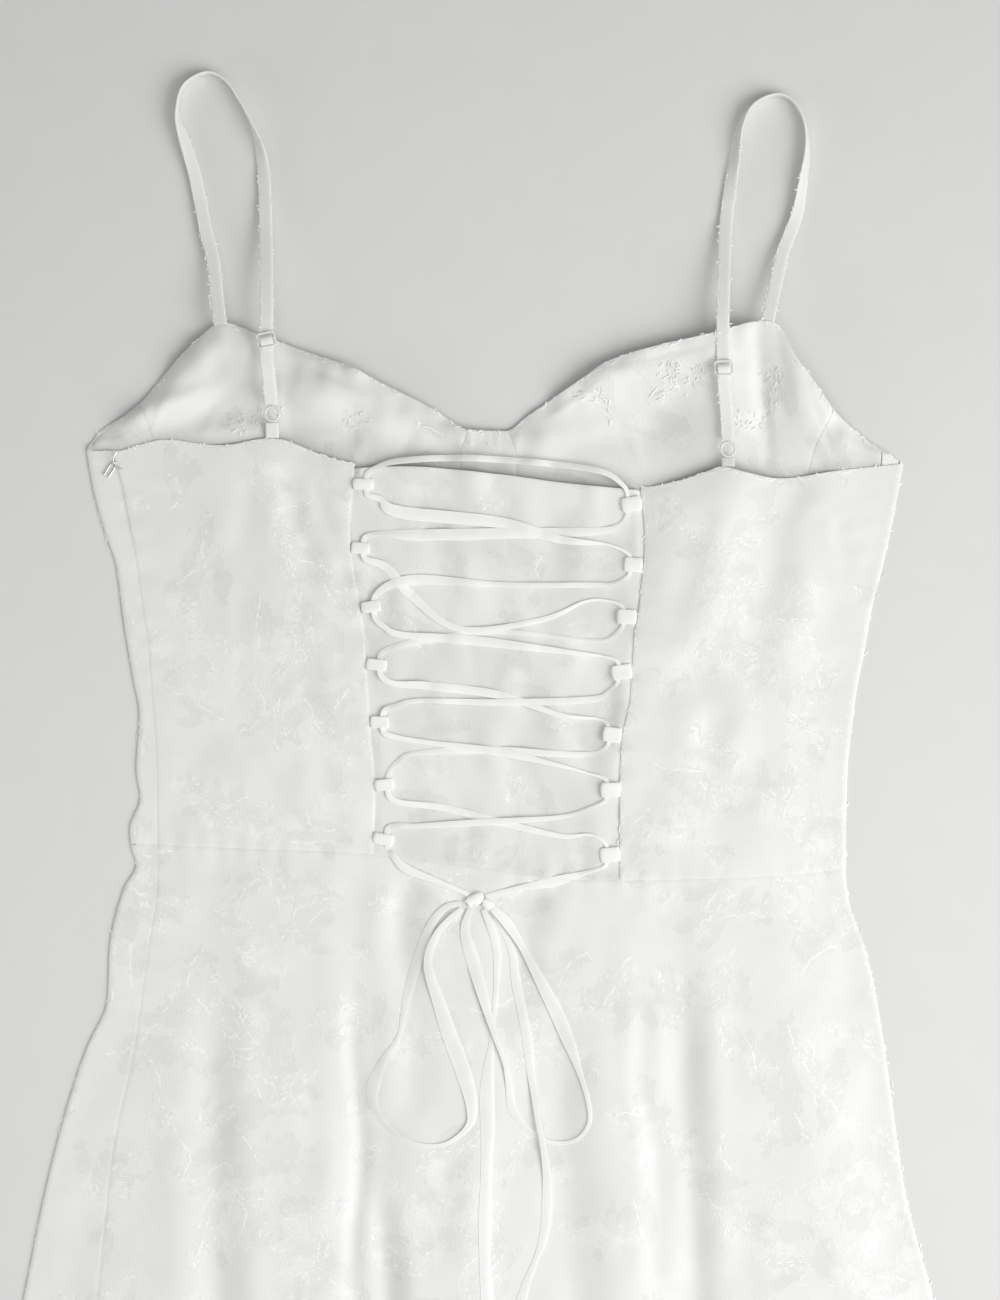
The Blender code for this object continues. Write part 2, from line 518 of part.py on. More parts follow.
def round_right(top, bottom):
    """Columns round the right fold, from the upper face to the seam underneath."""
    fold_start = shifted(right_fold, -FOLD_RADIUS)
    turns = [turned(right_fold, 1, a, back_top if top is back_top else top, bottom)
             for a in (140, 90, 40)]
    below = front_top if top is back_top else top
    return turns + spread(under, fold_start, shifted(fold_start, -SEAM_TURN), 2, below, bottom)


def back_pieces():
    """The two back pieces and the panel behind their lacing."""
    cloth = (JACQUARD, 0.6)
    half = SEAM_GAP / 2
    lacing_left, lacing_right = curve_of(LACING_LEFT), curve_of(LACING_RIGHT)
    columns = spread(upper, shifted(left_seam, half), lacing_left, 13, back_top, waist)
    panel("back_left", columns, BODICE_ROWS, cloth, BODICE_CROWD)
    columns = spread(upper, lacing_right, shifted(right_fold, -FOLD_RADIUS), 12, back_top, waist)
    columns += round_right(back_top, waist)
    panel("back_right", columns, BODICE_ROWS, cloth, BODICE_CROWD)
    low, high = shifted(lacing_left, -PANEL_UNDER), shifted(lacing_right, PANEL_UNDER)
    edge = curve_of(PANEL_EDGE)
    panel("lacing_panel", spread(on_front, low, high, 8, edge, waist), 8, cloth)


def skirt_lines():
    """Lines down the skirt's back that its long folds lie on, from left to right."""
    long_folds = [fold for fold in FOLDS if fold.y1 < HEM_LOW]
    lines = [shifted(left_seam, SEAM_GAP / 2)]
    for fold in sorted(long_folds, key=lambda fold: fold.x1):
        slant = (fold.x0 - fold.x1) / (fold.y0 - fold.y1)
        straight = curve_of([(fold.y1, fold.x1), (192.0, fold.x0 + slant * (192.0 - fold.y0))])
        lines.append(lambda y, a=lines[-1], b=straight: max(a(y) + COLUMN_LEAST, b(y)))
    lines.append(shifted(right_fold, -FOLD_RADIUS))
    return lines


def skirt_pieces():
    """The skirt's front, wrapped round the left fold, and its back, round the right fold."""
    cloth = (JACQUARD, 0.6)
    lines = skirt_lines()
    columns = []
    for low, high in zip(lines, lines[1:]):
        count = max(2, math.ceil((high(-200.0) - low(-200.0)) / COLUMN_WIDE))
        columns += spread(upper, low, high, count, waist, hem, (not columns, True))
    panel("skirt_back", columns + round_right(waist, hem), SKIRT_ROWS, cloth, SKIRT_CROWD)
    start = shifted(left_fold, FOLD_RADIUS)
    right_seam = shifted(right_fold, -FOLD_RADIUS - SEAM_TURN - SEAM_GAP)

    def under_waist(x):
        return waist(x) - 0.5

    columns = spread(under, right_seam, start, 11, under_waist, hem)
    columns += [turned(left_fold, -1, a, under_waist, hem) for a in (40, 90, 140)]
    columns += spread(upper, start, shifted(left_seam, -SEAM_GAP / 2), 4, waist, hem)
    panel("skirt_front", columns, SKIRT_ROWS, cloth, SKIRT_CROWD)


def block(low, high):
    """A bmesh box between two corners."""
    work = bmesh.new()
    bmesh.ops.create_cube(work, size=1.0)
    low, high = Vector(low), Vector(high)
    bmesh.ops.scale(work, vec=high - low, verts=work.verts)
    bmesh.ops.translate(work, vec=(low + high) / 2, verts=work.verts)
    return work


def cut(target, name, low, high):
    """Cuts a box out of an object."""
    cutter = add_object(name, block(low, high), (COATED, 0.3))
    cutter.hide_render = True
    cutter.display_type = "WIRE"
    bite = target.modifiers.new(name, "BOOLEAN")
    bite.operation = "DIFFERENCE"
    bite.solver = "EXACT"
    bite.object = cutter


def slider(side, x, y, strap_under):
    """A slider whose end bars cross over the strap and whose middle bar runs under it."""
    wide, long, bar = SLIDER_WIDE / 2, SLIDER_LONG / 2, SLIDER_BAR
    low = strap_under - 0.3 - bar
    high = low + SLIDER_HIGH
    name = f"strap_slider_{side}"
    made = add_object(name, block((x - wide, y - long, low), (x + wide, y + long, high)),
                      (COATED, 0.3))
    inner = wide - bar
    cut(made, f"{name}_channel", (x - inner, y - long - 1, low + bar), (x + inner, y + long + 1,
                                                                       high - bar))
    cut(made, f"{name}_window", (x - inner, y - long + bar, high - bar - 0.5),
        (x + inner, y + long - bar, high + 1))
    for end, way in (("lower", -1), ("upper", 1)):
        near, far = sorted((y + way * bar / 2, y + way * (long + 1)))
        cut(made, f"{name}_{end}", (x - inner, near, low - 1), (x + inner, far, low + bar + 0.5))


def ring(side, x, y, z):
    """The round ring between a strap and its tab."""
    work = bmesh.new()
    made = bmesh.ops.create_circle(work, segments=6, radius=RING_WIRE)
    for vert in made["verts"]:
        vert.co = Vector((RING_RADIUS + vert.co.x, 0.0, vert.co.y))
    bmesh.ops.spin(work, geom=work.verts[:] + work.edges[:], cent=(0, 0, 0), axis=(0, 0, 1),
                   angle=math.tau, steps=16, use_merge=True)
    bmesh.ops.remove_doubles(work, verts=work.verts, dist=0.01)
    bmesh.ops.recalc_face_normals(work, faces=work.faces)
    bmesh.ops.translate(work, vec=(x, y, z), verts=work.verts)
    add_object(f"strap_ring_{side}", work, (COATED, 0.3))


def straps():
    """Both straps, their sliders and rings, and the tabs that join them to the back."""
    satin = (JACQUARD, 0.55)
    for side, rows in (("left", STRAP_LEFT), ("right", STRAP_RIGHT)):
        route = laid_route([(*row, STRAP_WIDE) for row in rows], STRAP_THICK, floor, 7.0)
        strip(f"strap_{side}", route, satin)
    for row in SLIDERS:
        slider(*row)
    for side, x, y, z in RINGS:
        ring(side, x, y, z)
        reach = RING_RADIUS + RING_WIRE + SEAM_GAP
        last = back_top(x) + SEAM_GAP
        edge_z = back_height(x, last) - WALL / 2
        tab = [(x, y - reach, z, 0, STRAP_WIDE, STRAP_THICK),
               (x, last, edge_z, 0, STRAP_WIDE, STRAP_THICK)]
        strip(f"strap_tab_{side}", tab, satin)


def loop_end(side, y):
    """Where the lace passes through a loop, and which way the loop points."""
    reach = LOOP_LONG - LOOP_WALL - LACE_INSET + 2 * SEAM_GAP
    ends = (y - LOOP_WIDE / 2, y, y + LOOP_WIDE / 2)
    if side == "left":
        return max(along(LACING_LEFT, at) for at in ends) + reach, 1
    return min(along(LACING_RIGHT, at) for at in ends) - reach, -1


def lacing_loop(side, number, y):
    """A folded fabric loop on a lacing edge, open along the edge for the lace."""
    x, way = loop_end(side, y)
    middle = x - way * (LOOP_LONG / 2 - LOOP_WALL - LACE_INSET)
    work = bmesh.new()
    bmesh.ops.create_circle(work, segments=10, radius=1.0)
    for vert in work.verts:
        bulge = abs(vert.co.x) ** 0.6 * math.copysign(1, vert.co.x)
        rise = abs(vert.co.y) ** 0.6 * math.copysign(1, vert.co.y)
        vert.co = (bulge * LOOP_LONG / 2, -LOOP_WIDE / 2, rise * LOOP_HIGH / 2)
    made = bmesh.ops.extrude_edge_only(work, edges=work.edges[:])
    raised = [e for e in made["geom"] if isinstance(e, bmesh.types.BMVert)]
    bmesh.ops.translate(work, vec=(0, LOOP_WIDE, 0), verts=raised)
    bmesh.ops.recalc_face_normals(work, faces=work.faces)
    for face in work.faces:
        middle_of = face.calc_center_median()
        if face.normal.dot(Vector((middle_of.x, 0, middle_of.z))) < 0:
            face.normal_flip()
    bmesh.ops.translate(work, vec=(middle, y, LOOP_MIDDLE), verts=work.verts)
    made = add_object(f"loop_{side}_{number}", work, (SATIN, 0.5))
    thick = made.modifiers.new("wall", "SOLIDIFY")
    thick.thickness = LOOP_WALL * MM
    thick.offset = -1.0


def through_loop(side, y, way):
    """Lace rows where it passes through a loop, way -1 down the dress and 1 up it."""
    x = loop_end(side, y)[0]
    return [(x, y - way * LOOP_EXIT * share, LOOP_MIDDLE, 0, LOOP_LACE, LOOP_LACE)
            for share in (1, 0, -1)]


def lacing():
    """The loops, the two lace runs that cross between them, and the bow's knot and ends."""
    satin = (SATIN, 0.45)
    for side, heights in (("left", LOOPS_LEFT), ("right", LOOPS_RIGHT)):
        for number, y in enumerate(heights, 1):
            lacing_loop(side, number, y)
    first = through_loop("right", LOOPS_RIGHT[0], 1)[1:]
    first += [(*row, LACE_THICK) for row in TOP_BAR]
    for number, span in enumerate([*FIRST_SPANS, FIRST_TAIL]):
        side = "right" if number % 2 else "left"
        heights = LOOPS_RIGHT if number % 2 else LOOPS_LEFT
        first += through_loop(side, heights[number], -1)
        first += [(*row, LACE_THICK) for row in span]
    strip("lace_first", smooth_route(first, 14.0), satin)
    start = through_loop("right", LOOPS_RIGHT[0], -1)[1:]
    x, y, *rest = start[0]
    second = [(x, y - LOOP_LACE, *rest), start[1]]
    second += [(*row, LACE_THICK) for row in SECOND_SPANS[0]]
    for number, span in enumerate([*SECOND_SPANS[1:], SECOND_TAIL], 1):
        side = "left" if number % 2 else "right"
        heights = LOOPS_LEFT if number % 2 else LOOPS_RIGHT
        second += through_loop(side, heights[number], -1)
        second += [(*row, LACE_THICK) for row in span]
    strip("lace_second", smooth_route(second, 14.0), satin)


def bow():
    """The knot, the two bow loops and the two tails that lie on the skirt."""
    satin = (SATIN, 0.45)
    work = bmesh.new()
    bmesh.ops.create_icosphere(work, subdivisions=2, radius=0.5)
    bmesh.ops.scale(work, vec=KNOT_SIZE, verts=work.verts)
    bmesh.ops.translate(work, vec=KNOT, verts=work.verts)
    add_object("bow_knot", work, satin)
    for name, rows in (("bow_loop_left", BOW_LOOP_LEFT), ("bow_loop_right", BOW_LOOP_RIGHT),
                       ("bow_tail_left", BOW_TAIL_LEFT), ("bow_tail_right", BOW_TAIL_RIGHT)):
        strip(name, laid_route(rows, LACE_THICK, back_height, 8.0), satin)


def wire(name, rows):
    """A bent wire that lies on the back."""
    line = bpy.data.curves.new(name, "CURVE")
    line.dimensions = "3D"
    line.bevel_depth = SIDE_WIRE * MM
    line.bevel_resolution = 1
    line.use_fill_caps = True
    spline = line.splines.new("POLY")
    route = smooth_route([(x, y, back_height(x, y) + clear) for x, y, clear in rows], 1.2)
    spline.points.add(len(route) - 1)
    for point, place in zip(spline.points, route):
        point.co = (*(place * MM), 1.0)
    made = bpy.data.objects.new(name, line)
    bpy.context.collection.objects.link(made)
    line.materials.append(material(name, NICKEL, 0.25, 1.0))


def main():
    for old in list(bpy.data.objects):
        bpy.data.objects.remove(old)
    front_pieces()
    back_pieces()
    skirt_pieces()
    straps()
    lacing()
    bow()
    wire("side_hook", SIDE_HOOK)
    wire("side_eye", SIDE_EYE)


main()
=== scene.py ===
"""Looks of a midi dress with a laced back, laid flat on its front with the back up.

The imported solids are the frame. X runs across the dress, Y from the hem to the straps,
Z up from the surface it lies on. The tables are in millimetres, as in the part's source,
and the mesh code turns them to metres.
"""

import math
import random
from collections import namedtuple

import bmesh
import bpy
import numpy as np
from mathutils import Matrix, Vector

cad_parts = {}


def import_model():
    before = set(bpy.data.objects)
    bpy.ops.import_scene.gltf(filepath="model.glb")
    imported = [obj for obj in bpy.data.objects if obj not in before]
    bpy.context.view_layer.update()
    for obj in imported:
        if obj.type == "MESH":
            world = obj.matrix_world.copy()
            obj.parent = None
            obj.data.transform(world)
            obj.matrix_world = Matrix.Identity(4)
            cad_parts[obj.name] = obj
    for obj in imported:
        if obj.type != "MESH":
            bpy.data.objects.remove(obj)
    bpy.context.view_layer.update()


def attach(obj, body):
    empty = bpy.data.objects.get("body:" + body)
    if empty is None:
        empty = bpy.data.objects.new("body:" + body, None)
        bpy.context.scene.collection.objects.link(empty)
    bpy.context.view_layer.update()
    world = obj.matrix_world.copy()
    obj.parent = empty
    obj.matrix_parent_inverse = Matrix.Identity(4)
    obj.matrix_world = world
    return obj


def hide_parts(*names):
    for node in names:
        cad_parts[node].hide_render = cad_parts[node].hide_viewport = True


MM = 0.001

# Driving sizes
WALL = 1.2  # cloth with its lining
SEAM_GAP = 0.4  # between two pieces where they are sewn together
FOLD_RADIUS = 3.0  # rounded fold at each side of the flattened tube
SEAM_TURN = 8.0  # how far the right side seam lies in from the right fold, underneath
HEM_LOW = -588.1  # hem at the middle
HEM_CURVE = 38.25  # how much higher the hem is at the sides
HEM_HALF = 346.0  # half the hem's width

# Lacing
PANEL_UNDER = 14.0  # how far it runs under each back piece
LOOP_LONG = 9.0
LOOP_WIDE = 6.4
LOOP_HALF = 1.0  # half height of a loop, pressed flat
LOOP_WALL = 0.6
LOOP_MIDDLE = 5.45  # height of a loop's middle
LACE_INSET = 2.2  # from a loop's inner end to the lace

# Straps
STRAP_WIDE = 6.6
STRAP_THICK = 1.1
RING_RADIUS = 3.6
RING_WIRE = 0.6
SLIDER_WIDE = 9.8
SLIDER_LONG = 8.0
SLIDER_WIRE = 0.5

# Outlines, each row (y, x)
LEFT_FOLD = [
    (398.2, -196.8), (378.2, -193.2), (363.2, -189.2), (350.8, -185.2), (340.8, -181.8), (313.2, -178.2),
    (283.2, -173.2), (265.8, -170.2), (238.2, -171.8), (224.2, -169.8), (208.2, -175.2), (199.2, -174.2),
    (190.8, -171.8), (178.2, -178.2), (148.2, -185.2), (123.2, -186.2), (98.2, -196.8), (73.2, -205.2),
    (48.2, -212.2), (23.2, -218.2), (-26.8, -228.2), (-551, -346),
]
RIGHT_FOLD = [
    (391.8, 213.2), (373.2, 209.8), (353.2, 205.8), (335.8, 201.8), (318.2, 197.2), (298.2, 193.8),
    (278.2, 189.8), (258.2, 187.2), (238.2, 185.2), (188.2, 184.2), (173.2, 185.8), (148.2, 194.2),
    (123.2, 199.8), (98.2, 203.8), (48.2, 210.8), (23.2, 214.8), (-26.8, 228.2), (-551, 346),
]
LEFT_SEAM = [
    (395.8, -183.2), (383.2, -179.2), (363.2, -175.2), (343.2, -171.8), (323.2, -169.2), (303.2, -166.2),
    (278.2, -164.2), (253.2, -162.2), (228.2, -161.2), (183.2, -161), (148.2, -165.8), (123.2, -169.2),
    (98.2, -172.8), (48.2, -183.2), (3.2, -188.2), (-26.8, -191.2), (-560, -291),
]
LACING_LEFT = [
    (391.8, -62), (353.2, -64.2), (313.2, -58.2), (293.2, -56.2), (258.2, -54.2), (228.2, -51.8),
    (195.8, -52.8),
]
LACING_RIGHT = [
    (378.2, 81.2), (353.2, 83.2), (323.2, 80.8), (303.2, 77.8), (273.2, 75.8), (253.2, 71.8),
    (228.2, 70.8), (183.2, 70.8),
]

# Front seams, each row (y, x)
CUP_SEAM_LEFT = [(421.2, -169.2), (407.2, -164.2), (199, -114)]
BRIDGE_SEAM_LEFT = [(408.8, -5.4), (396.8, -8.8), (192, -14)]
BRIDGE_SEAM_RIGHT = [(408, 14.4), (396.8, 18.8), (189, 22)]
CUP_SEAM_RIGHT = [(417.2, 176.8), (397.8, 167.8), (184, 128)]

# Upper and lower edges, each row (x, y)
FRONT_TOP = [
    (-196.8, 398.6), (-189.8, 407.8), (-178.2, 414.8), (-169.2, 421.8), (-159.8, 433.2), (-140.2, 453.8),
    (-128.8, 461.8), (-110.8, 456.2), (-79.8, 445.2), (-62.2, 439.2), (-48.8, 431.8), (-23.2, 419.2),
    (-12.2, 412.2), (-6.2, 408.8), (14.2, 408), (22.8, 414.2), (32.8, 421.2), (53.2, 435), (65.2, 442.8),
    (95.2, 451.8), (117.8, 456.8), (143.2, 462.8), (150.2, 460.2), (158.2, 444.8), (167.8, 432.2),
    (177.8, 418.2), (193.2, 404.8), (203.2, 397.8), (213.2, 391.8),
]
BACK_TOP = [
    (-196.8, 398.2), (-180.8, 398.2), (-171.2, 400.8), (-157.8, 403.8), (-128.8, 400.8), (-105.8, 404.2),
    (-99.2, 403.8), (-87.8, 399.8), (-76.2, 395.2), (-61.8, 391.8), (80.8, 379.8), (100.8, 383.2),
    (113.2, 387.2), (121.8, 389.8), (133.2, 387.2), (150.8, 384.2), (180.8, 388.2), (213.2, 391.8),
]
PANEL_EDGE = [(-80, 388), (-39.2, 390.2), (10.8, 386.2), (40.8, 382.2), (70.8, 379.2), (98, 377)]
WAIST = [
    (-174.8, 201.2), (-122.8, 198.8), (-66.2, 196.8), (-19.2, 192), (60.8, 182.8), (116.8, 183.8),
    (162.8, 186.2), (184, 188.2),
]

# How high the front's top edge stands off the surface, each row (x, height)
RIM_LIFT = [
    (-197, 0), (-184, 0.6), (-169, 3.5), (-140, 8), (-128.8, 9), (-100, 8), (-62, 6.5), (-34, 4),
    (-6, 1.5), (4, 1.2), (14, 1.5), (43, 4), (65, 6.5), (95, 8.5), (143, 9.5), (158, 8.5), (178, 4),
    (193, 1.2), (213, 0),
]
RIM_REACH = 38.0  # how far down from the edge it settles

# How far the back stands above its side folds, each row (y, height)
LOFT = [(400, 0.3), (300, 0.8), (200, 0.5), (100, 2), (-26.8, 3.2), (-590, 4.6)]

# A fold's two ends, its depth and half widths there, and how much it widens on its way
Fold = namedtuple("Fold", "x0 y0 x1 y1 depth0 depth1 left right spread")
# Long folds of the skirt, from the waist to the hem
SKIRT_FOLDS = [Fold(*row) for row in (
    (-131.5, 192, -130, -640, 3, 7.4, 9, 8, 1), (-56.2, 192, -56.2, -640, 2.2, 5.2, 8, 13, 0.8),
    (-39, 188, -31, 60, 2.6, 1.2, 7, 8, 0), (28.2, 184, 16, 110, 2.4, 1, 11, 8, 0),
    (9.5, 100, 13, -640, 1, 6, 9, 11, 1), (39, 175, 52, -640, 3, 6, 19, 11, 0.5),
    (100.5, 186, 138, -640, 3.4, 7, 14, 8, 0.8), (126, 70, 165, -640, 0.6, 5.6, 6, 9, 1),
    (172, 40, 222, -640, 0.4, 6, 10, 9, 1), (-180, -40, -240, -640, 0.4, 5.8, 9, 9, 1),
)]
# Creases of the back bodice
BACK_FOLDS = [Fold(*row) for row in (
    (-117, 385, -118, 300, 0.9, 0.5, 6, 7, 0), (-98, 372, -66, 284, 1, 0.9, 7, 6, 0),
    (-150, 300, -88, 232, 0.8, 0.8, 8, 8, 0), (168, 372, 186, 300, 0.9, 0.8, 8, 8, 0),
    (118, 368, 100, 262, 0.7, 0.8, 9, 9, 0), (150, 300, 136, 215, 0.8, 0.7, 9, 8, 0),
)]

# Straps, each row (x, y, clearance under it, roll in degrees)
STRAP_LEFT = [
    (-128.8, 461.2, 9.4, 0), (-130.6, 474, 6.8, 0), (-132.8, 493, 3.6, 0), (-136.8, 509.2, 1.6, 4),
    (-142.2, 536.2, 0.3, 14), (-148.2, 556.2, 0.2, 45), (-151, 568, 0.2, 82), (-147.6, 581, 0.2, 90),
    (-136.2, 587.4, 0.2, 90), (-127.2, 583.8, 0.2, 90), (-120.2, 574.2, 0.2, 90),
    (-113.8, 561.8, 0.2, 84), (-109.6, 549.8, 0.3, 50), (-107.6, 536.2, 0.5, 14), (-106.6, 512.2, 3, 2),
    (-105.8, 483.2, 9.4, 0), (-105.5, 468, 11.6, 0), (-105.6, 459, 12.1, 0), (-105.6, 446, 12.1, 0),
    (-104.4, 434, 9.8, 0), (-103.6, 421.2, 5.9, 0),
]
STRAP_RIGHT = [
    (144.4, 463, 9.8, 0), (147.8, 478.2, 6.6, 0), (152.4, 497.8, 3.2, 0), (156.2, 507.2, 1.8, 6),
    (160.2, 518.8, 0.8, 22), (163, 535.8, 0.3, 48), (164.8, 550.2, 0.2, 66), (163.2, 563, 0.2, 80),
    (157.2, 573.2, 0.2, 90), (148.8, 576.4, 0.2, 90), (137.4, 571.2, 0.2, 88), (131.2, 559.8, 0.2, 72),
    (127.8, 540.8, 0.3, 34), (125.8, 526.2, 0.5, 12), (123.8, 510.2, 1.6, 2), (122.2, 478, 8.6, 0),
    (121.8, 460.8, 11.2, 0), (122, 445.6, 10.2, 0), (122.4, 432.4, 9.9, 0), (123.8, 418, 6.8, 0),
    (124.8, 403.4, 5.9, 0),
]
# Sliders and rings, each row (side, x, y, height of the strap's underside or of the ring)
SLIDERS = [("left", -105.6, 452.6, 12.1), ("right", 122.2, 438.8, 10.0)]
RINGS = [("left", -103.2, 416.4, 6.3), ("right", 124.8, 398.6, 6.3)]

# Lacing loops from the neckline down, their heights on the dress
LOOPS_LEFT = [381.2, 349.2, 319.8, 290.8, 262.2, 230.8, 203.6]
LOOPS_RIGHT = [371.2, 340.8, 314.8, 287.2, 255.8, 228.2, 195.8]

# The lace's first stretch over the neckline, each row (x, y, z, roll in degrees, width)
TOP_BAR = [
    (72, 381, 6.4, 76, 3.4), (60.8, 387.6, 6.8, 72, 4.4), (30.8, 391.8, 6.4, 66, 4.8),
    (-9.2, 394.2, 6.2, 64, 4.8), (-39.2, 392.8, 6.4, 68, 4.6), (-50, 390, 6.4, 76, 3.4),
]
# The lace's two runs between the loops, each row (x, y, roll in degrees, width)
FIRST_SPANS = [
    [(-49, 373.6, 30, 3.6), (-39.2, 367.2, 6, 6.4), (10.8, 362, 0, 7), (40.8, 353.6, 4, 6),
     (64, 351, 40, 3.4)],
    [(67, 331.4, 30, 3.4), (55, 330.8, 4, 5), (10.8, 331, 10, 5), (-28, 333.4, 4, 6.4),
     (-44, 330.8, 4, 5.2)],
    [(-47, 309.8, 30, 3.2), (-37.8, 305.8, 10, 4.4), (0.8, 302.6, 0, 6.4), (50.8, 296.4, 20, 4.6),
     (62, 295, 40, 3)],
    [(65, 277.6, 30, 3.6), (55.8, 273.4, 4, 5.6), (10.8, 272, 0, 5.6), (-29.2, 272.8, 10, 4.4),
     (-41, 270.4, 40, 3)],
    [(-40, 254.2, 30, 3.2), (-24.2, 251.8, 6, 4.8), (10.8, 247, 0, 6), (40.8, 240.4, 10, 4.2),
     (55, 236.4, 40, 3)],
    [(57, 219.8, 30, 3.2), (40.8, 214.6, 6, 4.6), (0.8, 212, 0, 5.6), (-30, 210.2, 10, 4.4),
     (-40, 210.4, 40, 2.8)],
]
FIRST_TAIL = [
    (-42.8, 195.6, 20, 3.6), (-36.2, 189, 16, 5.4), (-22.2, 183.2, 20, 5.4), (-10, 178.2, 14, 4.8),
    (-5, 176, 8, 4.6),
]
SECOND_SPANS = [
    [(71, 361.6, 20, 4), (60.8, 357.8, 4, 5.8), (20.8, 356.8, 0, 6.6), (-29.2, 355.8, 0, 6.6),
     (-48, 356.4, 30, 3.6)],
    [(-46, 339.4, 10, 5.2), (-34, 326, 0, 5.8), (-9.2, 308.8, 0, 5.4), (30.8, 313.2, 4, 5),
     (53.2, 322.4, 30, 3.4), (64, 323, 40, 3)],
    [(64.6, 304, 40, 3.2), (53.2, 303.2, 20, 3.8), (10.8, 307.4, 4, 5), (-24.2, 303.6, 0, 5.6),
     (-42, 299.6, 30, 4)],
    [(-42, 281.4, 30, 3.6), (-24.2, 280.2, 0, 6), (10.8, 275.6, 0, 6), (40.8, 265.8, 10, 4.8),
     (59, 263.8, 40, 3)],
    [(57.4, 246.6, 30, 4.4), (40.8, 246.2, 4, 5.4), (0.8, 248.2, 0, 6), (-31.8, 246.4, 20, 3.8),
     (-40.6, 242.2, 40, 3)],
    [(-38.6, 221.8, 30, 3.6), (-16.8, 219.2, 0, 5.6), (10.8, 212, 0, 5.8), (40.8, 205.2, 4, 4.8),
     (56, 205.8, 40, 3)],
]
SECOND_TAIL = [
    (56.8, 187.6, 20, 4), (38.2, 182.6, 0, 6.4), (20.8, 179.2, 6, 5.2), (7.8, 176.4, 14, 4.6),
    (3.4, 175, 8, 4.6),
]
LACES_APART = 1.9  # between the two runs in the top right loop, where both start
LOOP_LACE_HIGH = LOOP_MIDDLE - 0.4  # height of the lace there
LOOP_EXIT = 5.2  # from a loop's middle to where the lace leaves it

# Bow, each row (x, y, clearance over the skirt, roll in degrees, drawn width)
BOW_LOOP_LEFT = [
    (-8.9, 171.6, 2.2, 14, 2.4), (-16.6, 169.4, 1.6, 30, 3.2), (-23.6, 161, 0.8, 30, 4.2),
    (-29.4, 146.2, 0.5, 20, 4.8), (-35.4, 126.2, 0.5, 40, 4), (-39.6, 106.2, 0.5, 50, 1.9),
    (-46.8, 94.2, 0.5, 30, 3.4), (-52.4, 80.8, 0.5, 20, 6.4), (-52.2, 70.2, 0.5, 50, 3.8),
    (-43.8, 58.6, 0.5, 76, 2), (-30.2, 51.6, 0.5, 80, 1.9), (-16.2, 51.8, 0.5, 80, 2),
    (-5, 60.4, 0.5, 70, 3.4), (-3.4, 70.8, 0.5, 30, 5.6), (-7.2, 86.2, 0.5, 6, 7.4),
    (-13.8, 104.2, 0.5, 4, 7.4), (-19.8, 122.2, 1, 10, 6.2), (-25.2, 141.2, 3.6, 20, 4.4),
    (-21.6, 154.6, 4.6, 20, 3.6), (-14.4, 163.8, 4.4, 20, 3), (-7.8, 169.2, 4, 14, 2.4),
]
BOW_LOOP_RIGHT = [
    (-4, 168.7, 3.2, 10, 3), (-6.8, 158.2, 1.2, 0, 4.4), (-2.8, 142.8, 0.8, 4, 6.2),
    (1.6, 128.2, 3.4, 10, 5.6), (5.6, 114.2, 3.9, 10, 3.6), (9.2, 103.2, 3.9, 10, 2.6),
    (13.2, 92, 3.4, 10, 2.2), (15.4, 80.2, 1, 6, 3.4), (17.2, 68.8, 0.5, 20, 4.4),
    (24.6, 58.4, 0.5, 50, 3), (36.2, 52, 0.5, 76, 2), (48.2, 53, 0.5, 80, 1.9), (55.2, 61.4, 0.5, 80, 2),
    (54.8, 72.8, 0.5, 76, 2.2), (50.2, 88.2, 0.5, 60, 3), (44.8, 103.2, 0.6, 30, 6.2),
    (37.8, 119.2, 0.8, 10, 6.6), (29.6, 135.2, 2, 6, 5), (22, 149.6, 3.6, 14, 3.6),
    (14.6, 161.4, 5, 16, 5), (7.2, 169.2, 5.4, 14, 3.4),
]
BOW_TAIL_LEFT = [
    (2.6, 168.6, 1.6, 10, 2.6), (8.8, 150.8, 0.6, 20, 4), (9, 133.2, 0.5, 16, 2.6),
    (8, 118.2, 0.5, 10, 2), (6.8, 104.2, 0.5, 10, 2), (5.2, 90.8, 0.5, 8, 4.4), (4.2, 75.8, 0.5, 0, 7),
    (4.6, 58.2, 0.5, 6, 6.6), (3.8, 38.2, 0.5, 10, 5), (3.4, 13.2, 0.5, 0, 6.4),
    (3.2, -6.8, 0.5, 0, 5.4), (4.4, -26.8, 0.5, 4, 6), (5.6, -44, 0.5, 4, 6.4),
]
BOW_TAIL_RIGHT = [
    (6.8, 168.4, 0.8, 6, 2.4), (12.2, 158.2, 0.5, 6, 2.6), (16.8, 147.2, 0.5, 10, 3.4),
    (18.6, 133.2, 0.5, 10, 4.4), (21.4, 119.2, 0.5, 10, 4.4), (24.2, 104.8, 0.5, 10, 4.6),
    (26, 88.8, 0.6, 10, 4), (28.2, 74.8, 3, 10, 3.4), (30, 62, 6, 20, 2.6), (32.4, 50.2, 6, 20, 3),
    (34.2, 36.2, 1.8, 20, 4.2), (34.2, 18.2, 0.5, 14, 5), (32.4, 3.8, 0.5, 10, 4),
    (28, -8, 0.5, 14, 2.4), (23.4, -20, 0.5, 10, 4), (20.4, -32, 0.5, 0, 5.6), (18.8, -47, 0.5, 0, 6.4),
]

# Hook and eye over the top of the zipped seam, each row (x, y, height over the back)
SIDE_HOOK = [(-178.4, 388.6, 0.9), (-181.2, 390.2, 2), (-182.8, 394, 2.4), (-181.4, 397.2, 2.2)]
SIDE_EYE = [
    (-187.6, 386, 0.9), (-184.2, 391.4, 0.9), (-181.8, 392.6, 0.9), (-182.6, 389.2, 0.9),
    (-185.6, 384.8, 0.9),
]
SIDE_WIRE = 0.4

